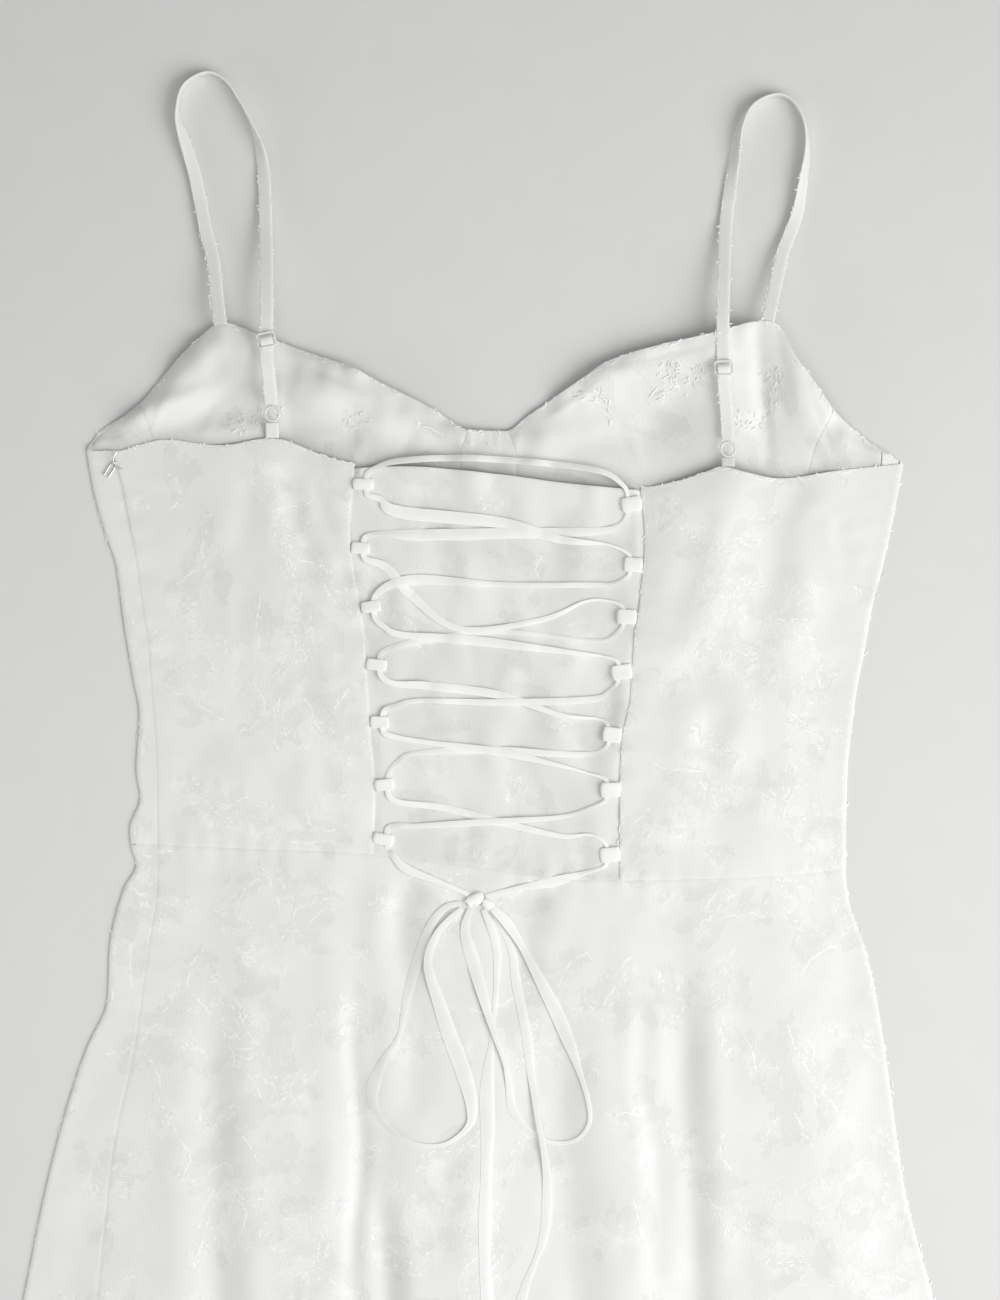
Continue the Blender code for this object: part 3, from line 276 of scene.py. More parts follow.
# Finer creases, seen only here, each like a fold
CREASES = [Fold(*row) for row in (
    (-120, 330, -121, 268, 0.7, 0.4, 3, 5, 0), (-104, 392, -56, 296, 1.7, 1.2, 6, 9, 0.2),
    (-84, 386, -64, 330, 0.8, 0.5, 4, 4, 0), (-150, 398, -132, 330, 0.9, 0.7, 10, 7, 0),
    (-128, 262, -92, 216, 0.8, 0.6, 7, 5, 0), (-88, 300, -70, 206, 0.8, 0.5, 6, 5, 0),
    (180, 366, 188, 326, 1.5, 1, 4, 4.5, 0), (129, 402, 99, 284, -3.4, -3, 22, 17, 0.1),
    (161, 394, 134, 296, 1.6, 1.2, 13, 9, 0.2), (182, 340, 150, 220, 1, 1, 10, 16, 0.2),
    (-62, 380, -84, 300, -1, -0.7, 7, 6, 0), (-140, 300, -118, 210, -1.1, -0.8, 9, 8, 0),
    (110, 280, 92, 200, -1.1, -0.8, 9, 8, 0), (112, 372, 96, 300, 1, 0.6, 10, 7, 0),
    (108, 300, 126, 210, 0.9, 0.7, 8, 8, 0), (-62, 130, -62, -100, 0.9, 1.4, 3, 4, 0),
    (80, 130, 92, -30, 1, 1.5, 4, 5, 0.3), (-170, 178, -171, 120, 0.8, 0.6, 3, 3, 0),
    (-48, 40, -45, -300, 2.4, 2.4, 5, 6, 0.3),
)]

# The jacquard's motifs where the photograph shows them: kind, x, y, size, turn in degrees
Motif = namedtuple("Motif", "kind x y size turn")
BODICE_MOTIFS = [Motif(*row) for row in (
    ("frond", 112, 322, 30, 40), ("frond", 121, 346, 22, 150), ("frond", 128, 318, 34, 250),
    ("flower", 150, 290, 22, 20), ("contour", 148, 314, 22, 5), ("contour", 108, 240, 24, 300),
    ("tuft", 164, 252, 14, 20), ("frond", 150, 212, 32, 80), ("tuft", 86, 208, 14, 60),
    ("frond", 108, 200, 24, 110), ("tuft", 128, 226, 12, 30), ("flower", 166, 214, 17, 70),
    ("tuft", 96, 285, 12, 75), ("contour", 172, 270, 20, 100), ("flower", -142, 296, 22, 10),
    ("petal", -98, 356, 34, 285), ("petal", -80, 344, 32, 300), ("petal", -90, 330, 38, 275),
    ("frond", -84, 318, 36, 255), ("contour", -134, 366, 42, 250), ("contour", -118, 258, 36, 15),
    ("contour", -104, 270, 20, 320), ("petal", -100, 246, 28, 90), ("frond", -132, 206, 28, 60),
    ("tuft", -138, 222, 13, 20), ("contour", -86, 216, 26, 300), ("tuft", -70, 226, 10, 80),
    ("tuft", -146, 232, 10, 120),
)]
SKIRT_MOTIFS = [Motif(*row) for row in (
    ("frond", -98, 66, 58, 96), ("frond", -112, 96, 30, 130), ("flower", -99, 6, 27, 30),
    ("tuft", -72, 112, 17, 80), ("contour", -128, 118, 36, 260), ("contour", -150, 36, 66, 12),
    ("contour", -186, 96, 60, 4), ("contour", -138, 150, 70, 265), ("tuft", -131, 26, 20, 90),
    ("flower", -18, 14, 24, 60), ("contour", 154, 112, 54, 268), ("frond", 172, 60, 40, 75),
    ("flower", 178, 8, 31, 15), ("petal", 128, 150, 34, 250), ("tuft", 82, 66, 20, 85),
    ("contour", 110, 26, 22, 350), ("frond", 74, 140, 34, 265), ("tuft", 36, 100, 14, 80),
    ("petal", -40, 120, 30, 270), ("frond", -190, 20, 34, 80), ("tuft", 62, 8, 18, 70),
    ("frond", 204, 90, 22, 95), ("contour", 128, 180, 30, 190), ("tuft", 150, 168, 14, 40),
    ("tuft", -150, 170, 12, 20), ("contour", -104, 160, 34, 340),
)]
CUP_MOTIFS = [Motif(*row) for row in (
    ("frond", 84, 420, 30, 70), ("frond", 66, 412, 24, 95), ("tuft", 104, 436, 14, 80),
    ("tuft", 136, 414, 12, 90), ("tuft", -118, 410, 14, 50), ("tuft", -104, 418, 9, 110),
    ("contour", -30, 412, 16, 330), ("tuft", 148, 436, 10, 80), ("tuft", -60, 414, 10, 60),
    ("petal", 150, 440, 26, 260),
)]
PANEL_MOTIFS = [Motif(*row) for row in (
    ("tuft", -34, 334, 8, 40), ("contour", -36, 316, 22, 300), ("tuft", 6, 372, 10, 80),
    ("petal", 14, 222, 16, 60), ("tuft", -46, 376, 8, 60), ("tuft", 40, 262, 9, 20),
    ("contour", 30, 334, 14, 80), ("tuft", 0, 196, 9, 30),
)]

# Forms of the front's inner side above the back, each row (x, y, half width, half length,
# turn in degrees, height)
CUP_FORMS = [
    (-152, 422, 34, 6, 20, 3.8), (-122, 408, 26, 5, 6, 2.4), (-110, 434, 22, 8, 30, -4),
    (-80, 424, 13, 8, -8, 4.2), (-80, 408, 20, 6, -12, -3), (-48, 412, 10, 16, -20, 2.6),
    (66, 436, 22, 9, 26, 3), (127, 424, 15, 20, 0, 4.6), (160, 420, 13, 26, 12, 4),
    (60, 410, 18, 9, 12, 2), (142, 424, 3.5, 26, 6, -2.8), (-140, 442, 14, 5, 44, 2),
    (184, 404, 10, 8, -30, 1.6), (34, 402, 9, 12, -20, 1.8),
]

# Painted shade in the cups' pockets, darkening their colour, each row (x, y, half width, half length,
# turn, amount)
CUP_SHADES = [
    (-124, 436, 14, 13, 0, 0.24), (-144, 442, 22, 6.5, 40, 0.2), (-88, 441, 17, 8, -22, 0.18),
    (-86, 408, 11, 6, -8, 0.17), (-44, 400, 32, 6, -10, 0.15), (-176, 406, 13, 5, 16, 0.15),
    (-26, 415, 20, 8, -26, 0.19), (100, 411, 13, 19, 0, 0.25), (62, 400, 30, 6, 4, 0.12),
    (6, 410, 16, 9, 0, 0.15), (176, 402, 20, 6, -16, 0.1), (-67, 431, 9, 7, -20, 0.2),
]

# Small folds of the cups' inner side, each row (x, y, half width, half length, turn, height)
CUP_CREASES = [
    (-152, 418, 16, 1.8, 30, -0.9), (-134, 412, 2.2, 12, -30, 0.8), (-118, 420, 14, 1.6, 44, 0.8),
    (-96, 416, 2, 9, 10, -0.9), (-70, 430, 12, 1.6, -24, 0.9), (-58, 404, 2, 10, -14, 0.8),
    (-36, 402, 1.8, 9, -24, -0.8), (50, 424, 15, 1.7, 34, 0.8), (78, 402, 2, 12, 20, 0.9),
    (94, 446, 15, 1.6, 12, -0.8), (112, 432, 1.8, 12, -14, 0.8), (152, 430, 2, 14, 14, 0.9),
    (172, 410, 2, 12, 24, -0.9), (196, 398, 10, 1.6, -30, 0.8), (-4, 401, 1.1, 8, 4, 0.8),
    (0.5, 400, 1, 9, -3, 0.9), (4.6, 402, 1.1, 7, 5, 0.8), (9.4, 401, 1, 8, -4, 0.9),
    (13.6, 402, 1.1, 6, 2, 0.7), (-9, 400, 1.2, 7, 8, 0.6), (18.6, 401, 1.3, 8, -9, 0.7),
    (170, 424, 1.6, 7, 34, 0.8), (-160, 416, 1.4, 8, -24, 0.8), (-24, 414, 1.2, 6, -14, 0.6),
]

HALF_GAP = -0.02  # the sewn seams close up here, apart from a fine groove
BACK_HIGH = 5.0  # the back's height before its loft
SIDE_HIGH = 1.4  # the soft side folds sag a little below the solid's
CLOTH = 0.6  # the cloth's drawn wall, finer than its solid's
LACE_WIDE = 7.4  # the ribbon's flat width
LACE_FINE = 0.3  # the ribbon's drawn thickness
LACE_SHADE = 0.08  # painted shade along the middle of the lace, leaving its edges lighter
BOW_SHADE = 0.17  # the same painted shade for the bow, whose ribbon is creased along its middle
LACE_TONE = 0.975  # how light the satin of the lace is
LOOP_TONE = 0.93
LACE_STEP = 1.6  # between the rings of a drawn ribbon
STRAP_STEP = 2.0
WELD = 0.0005  # points this close are one

# The photograph's view in metres: its middle, its height, and how far away it is seen from
VIEW_MIDDLE = (0.01075, 0.29825)
VIEW_TALL = 0.650
VIEW_AWAY = 1.6
CLOTH_LEVEL = 0.006  # about where the dress's upper face is

LOW_SPREAD = 130  # degrees, so that the two low lights don't flood the floor beside them
WORLD_STRENGTH = 0.295

# Rows of faces down each piece, and columns of them across the larger ones
FRONT_ROWS = 84
BACK_ROWS = 92
PANEL_ROWS = 90
SKIRT_FRONT_ROWS = 170
SKIRT_BACK_ROWS = 230
BACK_COLUMNS = 56
PANEL_COLUMNS = 72
SKIRT_FRONT_COLUMNS = 60
SKIRT_BACK_COLUMNS = 150


def smooth(share):
    """A soft step from 0 to 1."""
    share = np.clip(share, 0.0, 1.0)
    return share * share * (3 - 2 * share)


def curve_of(rows):
    """A smooth curve through rows of (place, value), for one place or an array of them."""
    xs, ys = np.array(sorted(rows), dtype=float).T
    steps = np.diff(ys) / np.diff(xs)
    product = steps[:-1] * steps[1:]
    total = np.where(product > 0, steps[:-1] + steps[1:], 1.0)
    middle = np.where(product > 0, 2 * product / total, 0.0)
    slopes = np.concatenate([steps[:1], middle, steps[-1:]])

    def curve(at):
        at = np.clip(at, xs[0], xs[-1])
        k = np.clip(np.searchsorted(xs, at, side="right") - 1, 0, len(steps) - 1)
        wide = xs[k + 1] - xs[k]
        t = (at - xs[k]) / wide
        ends = ys[k] * (1 + 2 * t) * (1 - t) ** 2 + ys[k + 1] * t * t * (3 - 2 * t)
        return ends + wide * t * (1 - t) * (slopes[k] * (1 - t) - slopes[k + 1] * t)

    return curve


left_fold = curve_of(LEFT_FOLD)
right_fold = curve_of(RIGHT_FOLD)
left_seam = curve_of(LEFT_SEAM)
lacing_left = curve_of(LACING_LEFT)
lacing_right = curve_of(LACING_RIGHT)
front_top = curve_of(FRONT_TOP)
back_top = curve_of(BACK_TOP)
panel_top = curve_of(PANEL_EDGE)
waist = curve_of(WAIST)
rim_lift = curve_of(RIM_LIFT)
loft_at = curve_of(LOFT)


def hem(x):
    return HEM_LOW + HEM_CURVE * np.minimum(1.0, (x / HEM_HALF) ** 2)


def trough(fold, x, y):
    """How deep one fold is at points of the back, with the low ridges beside it."""
    run_x, run_y = fold.x1 - fold.x0, fold.y1 - fold.y0
    run = math.hypot(run_x, run_y)
    share = ((x - fold.x0) * run_x + (y - fold.y0) * run_y) / run**2
    aside = (run_x * (y - fold.y0) - run_y * (x - fold.x0)) / run
    aside = aside + min(3.0, run * 0.012) * np.sin(share * 11.0 + fold.x0)
    wide = np.where(aside > 0, fold.right, fold.left) * (1 + fold.spread * share)
    depth = fold.depth0 + (fold.depth1 - fold.depth0) * share
    fade = smooth(share / 0.12) * smooth((1 - share) / 0.12)
    valley = np.exp(-((aside / wide) ** 2))
    ridges = np.exp(-(((np.abs(aside) / wide - 1.9) / 0.8) ** 2))
    shape = depth * fade * (valley - 0.28 * ridges)
    return np.where((share > 0) & (share < 1), shape, 0.0)


def ripple(x, y, seed, shortest, longest, high, count=14):
    """Soft uneven ground, a sum of waves with random headings."""
    rng = random.Random(seed)
    total = 0.0
    for _ in range(count):
        wave = rng.uniform(shortest, longest)
        turn = rng.uniform(0, math.tau)
        phase = rng.uniform(0, math.tau)
        total = total + np.sin((x * math.cos(turn) + y * math.sin(turn)) * math.tau / wave + phase)
    return total * high / math.sqrt(count)


def pucker(away, along_it, wave, reach, high, seed):
    """Small gathers across a seam, strongest at the seam."""
    drift = np.sin(along_it / 37.0 + seed) * 2.2 + np.sin(along_it / 13.0 + seed * 2) * 0.8
    uneven = 0.6 + 0.4 * np.sin(along_it / 29.0 + seed * 3)
    return high * uneven * np.exp(-np.abs(away) / reach) * np.sin(along_it * math.tau / wave + drift)


def relief(x, y):
    """Puckers along the seams and the soft unevenness of laid cloth."""
    total = ripple(x, y, 5, 24, 60, 0.28) + ripple(x, y, 9, 10, 22, 0.07)
    total = total + pucker(x - left_seam(y), y, 13.0, 7.0, 0.35, 1.0)
    total = total + pucker(y - waist(x), x, 11.0, 6.0, 0.35, 2.0)
    bodice = smooth((y - waist(x)) / 8)
    total = total + bodice * pucker(x - lacing_left(y), y, 17.0, 9.0, 0.35, 3.0)
    total = total + bodice * pucker(x - lacing_right(y), y, 15.0, 9.0, 0.35, 4.0)
    return total + pucker(right_fold(y) - x, y, 15.0, 12.0, 0.4, 5.0)


def lacing_away(x, y):
    """How far outside the lacing's opening a point is, below zero inside it."""
    return np.maximum(lacing_left(y) - x, x - lacing_right(y))


def back_height(x, y):
    """Height of the dress's upper face, the outside of the back."""
    from_left, from_right = x - left_fold(y) - FOLD_RADIUS, right_fold(y) - x - FOLD_RADIUS
    bodice = smooth((y - waist(x)) / 12.0)
    loft = loft_at(y) - 1.2 * np.exp(-np.abs(lacing_away(x, y)) / 13.0) * bodice
    loft = loft - 0.5 * np.exp(-np.maximum(back_top(x) - y, 0.0) / 9.0) * bodice
    for fold in SKIRT_FOLDS + BACK_FOLDS + CREASES:
        loft = loft - trough(fold, x, y)
    full = (BACK_HIGH - SIDE_HIGH + loft) * smooth(from_left / 105.0) * smooth(from_right / 46.0)
    return SIDE_HIGH + full + relief(x, y) * smooth(np.minimum(from_left, from_right) / 10.0)


def mound(row, x, y):
    """One soft oval form from its row, at points of the front's inner side."""
    middle_x, middle_y, wide, long, turn, high = row
    c, s = math.cos(math.radians(turn)), math.sin(math.radians(turn))
    across = ((x - middle_x) * c + (y - middle_y) * s) / wide
    up = ((y - middle_y) * c - (x - middle_x) * s) / long
    return high * np.exp(-(across**2) - up**2)


def front_lift(x, y):
    """Height of the front's underside, which is off the surface only near its top edge."""
    near = 1 - smooth((front_top(x) - y) / RIM_REACH)
    curl = 3.4 * np.exp(-np.maximum(front_top(x) - y, 0.0) / 5.0) * smooth((-58.0 - x) / 12.0)
    lift = (rim_lift(x) - curl) * near
    lift = lift + 1.5 * np.exp(-((y - back_top(x)) / 16.0) ** 2) * smooth((205.0 - x) / 14.0)
    forms = sum(mound(row, x, y) for row in CUP_FORMS + CUP_CREASES)
    lift = lift + forms * smooth((y - 385.0) / 12.0)
    lift = lift + near * (ripple(x, y, 21, 9, 26, 0.6) + ripple(x, y, 22, 26, 60, 0.8))
    lift = np.maximum(lift, 0.0) + pressed(x, y)
    most = np.maximum(back_height(x, y) - 2 * CLOTH - 0.15, 0.0)
    covered = smooth((back_top(x) + 5.0 - y) / 4.0) * smooth(lacing_away(x, y) / 6.0)
    return lift + (np.minimum(lift, most) - lift) * covered


def pressed(x, y):
    """Shallow channels where the underside's folds stand off the surface."""
    rise = 0.0 * x
    for fold in SKIRT_FOLDS:
        rise = rise + 0.22 * trough(fold, -x, y)
    inner = np.minimum(x - left_fold(y), right_fold(y) - x) - 2 * FOLD_RADIUS
    return np.clip(rise, 0.0, 1.3) * smooth(inner / 14.0) * smooth((y - hem(x)) / 12.0)


def panel_height(x, y):
    """Height of the uneven panel behind the lacing, which lies on the front."""
    soft = ripple(x, y * 0.4, 31, 14, 40, 1.0) + pucker(y - waist(x), x, 12.0, 9.0, 0.5, 6.0)
    rise = 0.7 * np.exp(-np.maximum(-lacing_away(x, y) - 1.0, 0.0) / 12.0)
    laid = front_lift(x, y) + 2 * WALL + 0.4 + np.maximum(soft + 0.45, -0.2) + rise
    joined = np.exp(-np.maximum(y - waist(x), 0.0) / 10.0)
    laid = laid + (back_height(x, waist(x)) - laid) * joined
    covered = smooth((lacing_away(x, y) + 3.0) / 3.0) * smooth((y - waist(x)) / 3.0)
    return laid + (np.minimum(laid, back_height(x, y) - CLOTH - 0.1) - laid) * covered


Column = namedtuple("Column", "line height top bottom")


def between(low, high, share):
    return lambda y: low(y) + (high(y) - low(y)) * share


def shifted(line, by):
    return lambda y: line(y) + by


def upper(line, top, bottom):
    """A column of points on the dress's upper face."""
    return Column(line, back_height, top, bottom)


def under(line, top, bottom):
    """A column of points on the dress's underside."""
    return Column(line, front_lift, top, bottom)


def on_front(line, top, bottom):
    """A column of points on the upper face of a panel that lies on the front's inside."""
    return Column(line, panel_height, top, bottom)


def turned(fold, way, angle, top, bottom):
    """A column on the rounded side fold, from 0 underneath to 180 degrees on top."""
    out, rise = math.sin(math.radians(angle)), math.cos(math.radians(angle))
    line = shifted(fold, -way * FOLD_RADIUS * (1 - out))
    share = ((1 - rise) / 2) ** 1.7
    return Column(line, lambda x, y: SIDE_HIGH * share + 0 * y, top, bottom)


def spread(kind, low, high, count, top, bottom):
    """Columns of a kind, evenly from one line to another."""
    return [kind(between(low, high, i / count), top, bottom) for i in range(count + 1)]


def edge_height(column, edge, guess):
    """Where a column meets an edge that is given by its height at each x."""
    y = guess
    for _ in range(8):
        y = edge(column.line(y))
    return y


def finished(name, work, finish, smooth_angle=40):
    """An object from a bmesh in millimetres, with its material."""
    bmesh.ops.scale(work, vec=(MM, MM, MM), verts=work.verts)
    mesh = bpy.data.meshes.new(name)
    work.to_mesh(mesh)
    work.free()
    made = bpy.data.objects.new(name, mesh)
    bpy.context.collection.objects.link(made)
    mesh.materials.append(finish)
    mesh.shade_smooth()
    mesh.set_sharp_from_angle(angle=math.radians(smooth_angle))
    return made


def thicken(made, wall, bevel):
    """Gives an outer face its wall and rounds the wall's edges."""
    thick = made.modifiers.new("wall", "SOLIDIFY")
    thick.thickness = wall * MM
    thick.offset = -1.0
    soft = made.modifiers.new("edge", "BEVEL")
    soft.width = bevel * MM
    soft.segments = 2
    soft.limit_method = "ANGLE"
    soft.angle_limit = math.radians(60)


def cloth(name, columns, rows, down_at, finish):
    """A cloth piece: its outer face over columns and rows, thickened inwards."""
    work = bmesh.new()
    across = len(columns) - 1
    bmesh.ops.create_grid(work, x_segments=across, y_segments=rows, size=1.0)
    down = np.array([down_at(i / rows) for i in range(rows + 1)])
    places = []
    for column in columns:
        top = edge_height(column, column.top, 400.0) - HALF_GAP
        bottom = edge_height(column, column.bottom, 0.0) + HALF_GAP
        y = top + (bottom - top) * down
        x = column.line(y)
        places.append(np.stack([x, y, column.height(x, y)], axis=1))
    for vert in work.verts:
        j = round((vert.co.x + 1) / 2 * across)
        i = round((1 - vert.co.y) / 2 * rows)
        vert.co = places[j][i]
    made = finished(name, work, finish)
    for layer, field in (("bloom", BLOOM), ("petal", PETALS)):
        paint(made, layer, lambda x, y, z: read_field(field, x, y))
    # painted shade, stored for each point: on the front's inside and on the panel, none on the other
    # pieces
    paint(made, "painted_shade", shade_of(name))
    thicken(made, CLOTH, 0.25)
    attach(made, "root")
    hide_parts(name.removesuffix("_cloth"))
    return made


def paint(made, name, value_at):
    """Stores a value for each point of a mesh, from its place in millimetres."""
    mesh = made.data
    places = np.zeros(len(mesh.vertices) * 3)
    mesh.vertices.foreach_get("co", places)
    x, y, z = places.reshape(-1, 3).T / MM
    layer = mesh.attributes.new(name, "FLOAT", "POINT")
    layer.data.foreach_set("value", value_at(x, y, z))


BLOOM_CELL = 2.0
BLOOM_LOW = np.array([-360.0, -600.0])
BLOOM_SIZE = (360, 540)


def bloom_field(rows):
    """How thickly the motifs' threads lie, on a grid of 2 mm cells, from 0 to 1."""
    x, y = np.array(rows)[:, :2].T
    field = np.zeros(BLOOM_SIZE)
    column = ((x - BLOOM_LOW[0]) / BLOOM_CELL).astype(int)
    row = ((y - BLOOM_LOW[1]) / BLOOM_CELL).astype(int)
    np.add.at(field, (column, row), 1.0)
    for _ in range(7):
        for axis in (0, 1):
            field = (np.roll(field, 1, axis) + 2 * field + np.roll(field, -1, axis)) / 4
    return 1 - np.exp(-field * 4.0)


def petal_field(motifs):
    """Where the motifs' darker petals lie, on the same grid, from 0 to 1."""
    rng = random.Random(51)
    field = np.zeros(BLOOM_SIZE)
    across = BLOOM_LOW[0] + (np.arange(BLOOM_SIZE[0])[:, None] + 0.5) * BLOOM_CELL
    up = BLOOM_LOW[1] + (np.arange(BLOOM_SIZE[1])[None, :] + 0.5) * BLOOM_CELL
    for motif in motifs:
        turn, size = math.radians(motif.turn), motif.size
        rows = [(0.5, 0.0, 0.62, 0.2), (0.7, 0.5, 0.4, 0.16)]
        if motif.kind in ("flower", "tuft"):
            rows = [(rng.uniform(0.3, 0.75), rng.uniform(0, math.tau), rng.uniform(0.3, 0.5),
                     rng.uniform(0.14, 0.24)) for _ in range(6)]
        low = ((np.array([motif.x, motif.y]) - 1.6 * size - BLOOM_LOW) / BLOOM_CELL).astype(int)
        high = low + int(3.2 * size / BLOOM_CELL) + 1
        near = (slice(max(low[0], 0), max(high[0], 0)), slice(max(low[1], 0), max(high[1], 0)))
        for out, away, long, wide in rows:
            lean = turn + away
            c, s = math.cos(lean), math.sin(lean)
            x = across[near[0]] - motif.x - out * size * c
            y = up[:, near[1]] - motif.y - out * size * s
            along, aside = (x * c + y * s) / (long * size), (y * c - x * s) / (wide * size)
            field[near] = np.maximum(field[near], np.exp(-((along**2 + aside**2) ** 2)))
    return field


def read_field(field, x, y):
    """A grid's value at places, smoothly between its cells."""
    column = np.clip((x - BLOOM_LOW[0]) / BLOOM_CELL - 0.5, 0, BLOOM_SIZE[0] - 2)
    row = np.clip((y - BLOOM_LOW[1]) / BLOOM_CELL - 0.5, 0, BLOOM_SIZE[1] - 2)
    i, j = column.astype(int), row.astype(int)
    a, b = column - i, row - j
    low = field[i, j] * (1 - a) + field[i + 1, j] * a
    high = field[i, j + 1] * (1 - a) + field[i + 1, j + 1] * a
    return low * (1 - b) + high * b


def front_painted_shade(x, y, z):
    """How much painted shade darkens a place of the front's inner side, from 0 to 1."""
    inside = smooth(-lacing_away(x, y) / 12.0)
    edge = back_top(x) + (panel_top(x) - back_top(x)) * (inside > 0)
    reach = 5.0 + 1.8 * inside
    # painted shade on the front's inside just above the back's top edge, and inside the lacing just
    # above the panel's top edge
    deep = (0.45 + 0.3 * inside) * smooth((y - 340.0) / 20.0) * (z < 12.0)
    deep = deep * ((x > left_seam(y)) | (y > edge))
    shade = deep * np.exp(-((np.maximum(y - edge, 0.0) / reach) ** 2))
    # painted shade in the cups' pockets
    shade = shade + sum(mound(row, x, y) for row in CUP_SHADES)
    return np.clip(shade, 0.0, 1.0)


def panel_shade(x, y, z):
    """Painted shade on the panel, for the laces' soft shade, in uneven upright blotches."""
    # less painted shade near the panel's top edge
    top = 0.1 * np.exp(-np.abs(panel_top(x) - y) / 22.0)
    return np.clip(0.07 + ripple(x, y * 0.35, 41, 14, 40, 0.07) - top, 0.0, 0.3)


def no_shade(x, y, z):
    return 0.0 * x


def shade_of(name):
    if name.startswith("front_"):
        return front_painted_shade
    return panel_shade if name.startswith("lacing") else no_shade


def wrapped(rings, closed=False, shades=None):
    """A tube of faces over rings of points; closed joins the last ring to the first.

    The shades are painted shade that darkens the places round each ring.
    """
    rings = np.array([[tuple(point) for point in ring] for ring in rings])
    count, around = rings.shape[:2]
    work = bmesh.new()
    steps = count if closed else count - 1
    bmesh.ops.create_grid(work, x_segments=around, y_segments=steps, size=1.0)
    # a layer of painted shade, which the materials read to darken the colour
    painted_shade = work.verts.layers.float.new("painted_shade") if shades else None
    for vert in work.verts:
        i = round((vert.co.x + 1) / 2 * around) % around
        j = round((vert.co.y + 1) / 2 * steps) % count
        vert.co = rings[j][i]
        if shades:
            vert[painted_shade] = shades[i]
    bmesh.ops.remove_doubles(work, verts=work.verts, dist=WELD)
    return work


def skin(name, rings, finish, closed=False, smooth_angle=50, shades=None):
    """A piece with a skin over rings of points and its open ends filled."""
    work = wrapped(rings, closed, shades)
    open_edges = [edge for edge in work.edges if edge.is_boundary]
    if open_edges:
        bmesh.ops.holes_fill(work, edges=open_edges, sides=0)
    bmesh.ops.recalc_face_normals(work, faces=work.faces)
    return finished(name, work, finish, smooth_angle)


ARC_ANGLES = np.linspace(0.0001, 2.6, 200)
ARC_CHORDS = np.sin(ARC_ANGLES) / ARC_ANGLES


def arc_section(chord, wide, thick, points=9):
    """A ribbon's section, bent to an arc when its chord is less than its width."""
    half = float(np.interp(-min(chord / wide, 0.999), -ARC_CHORDS, ARC_ANGLES))
    radius = wide / (2 * half)
    shares = np.linspace(-1, 1, points)
    upper_side = [((radius + thick / 2) * math.sin(half * s),
                   (radius + thick / 2) * math.cos(half * s)) for s in shares]
    lower_side = [((radius - thick / 2) * math.sin(half * s),
                   (radius - thick / 2) * math.cos(half * s)) for s in shares[::-1]]
    middle = radius * (1 + math.cos(half)) / 2
    return [(across, rise - middle) for across, rise in upper_side + lower_side]


def smooth_route(rows, step):
    """Rows of equal length read from a smooth curve through the given rows."""
    rows = [Vector(row) for row in rows]
    padded = [rows[0] * 2 - rows[1], *rows, rows[-1] * 2 - rows[-2]]
    fine = []
    for a, b, c, d in zip(padded, padded[1:], padded[2:], padded[3:]):
        count = max(1, round((c - b).to_3d().length / step))
        for i in range(count):
            t = i / count
            fine.append(
                0.5 * (2 * b + (c - a) * t + (2 * a - 5 * b + 4 * c - d) * t**2
                       + (3 * b - a - 3 * c + d) * t**3)
            )
    return [*fine, rows[-1]]


def heading_at(route, i):
    before, after = route[max(i - 1, 0)], route[min(i + 1, len(route) - 1)]
    return (Vector(after[:3]) - Vector(before[:3])).normalized()


def faced(route, i):
    """The directions across a strip and out of its face, at one row of its route."""
    heading = heading_at(route, i)
    aside = Vector((-heading.y, heading.x, 0.0)).normalized()
    roll = math.radians(route[i][3])
    across = aside * math.cos(roll) + Vector((0, 0, 1)) * math.sin(roll)
    return across, heading.cross(across).normalized()


def ribbon(name, route, wide, thick, finish, ground, middle_shade):
    """A ribbon along rows of (x, y, z, roll, chord), bent where its chord is narrow.

    Its section follows the ground, and its middle has painted shade, a little darker than its edges.
    """
    rings = []
    for i, row in enumerate(route):
        across, face = faced(route, i)
        section = arc_section(row[4], min(wide, row[4] * 1.004), thick)
        if face.z < 0:
            face = -face
        rings.append([tuple(Vector(row[:3]) + across * a + face * b) for a, b in section])
    rings, middles = np.array(rings), np.array([row[:2] for row in route])
    rings[:, :, 2] += ground(rings[:, :, 0], rings[:, :, 1])
    rings[:, :, 2] -= ground(middles[:, :1], middles[:, 1:])
    count = rings.shape[1] // 2
    # painted shade, strongest along the ribbon's middle, so that its edges look lit
    middle = [middle_shade * (1 - abs(2 * k / (count - 1) - 1) ** 4) for k in range(count)]
    made = skin(name, rings, finish, shades=middle + middle[::-1])
    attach(made, "root")
    return made


def laid_route(rows, thick, ground, step):
    """A strip's rows from (x, y, clearance, roll, width), laid over the ground."""
    rows = np.array([tuple(row) for row in smooth_route(rows, step)])
    x, y, clear, roll, wide = rows.T
    lean = np.radians(roll)
    high = np.abs(np.sin(lean)) * wide / 2 + np.abs(np.cos(lean)) * thick / 2
    rows[:, 2] = ground(x, y) + clear + high
    return [tuple(row) for row in rows.tolist()]


def floor_height(x, y):
    return 0.0 * x


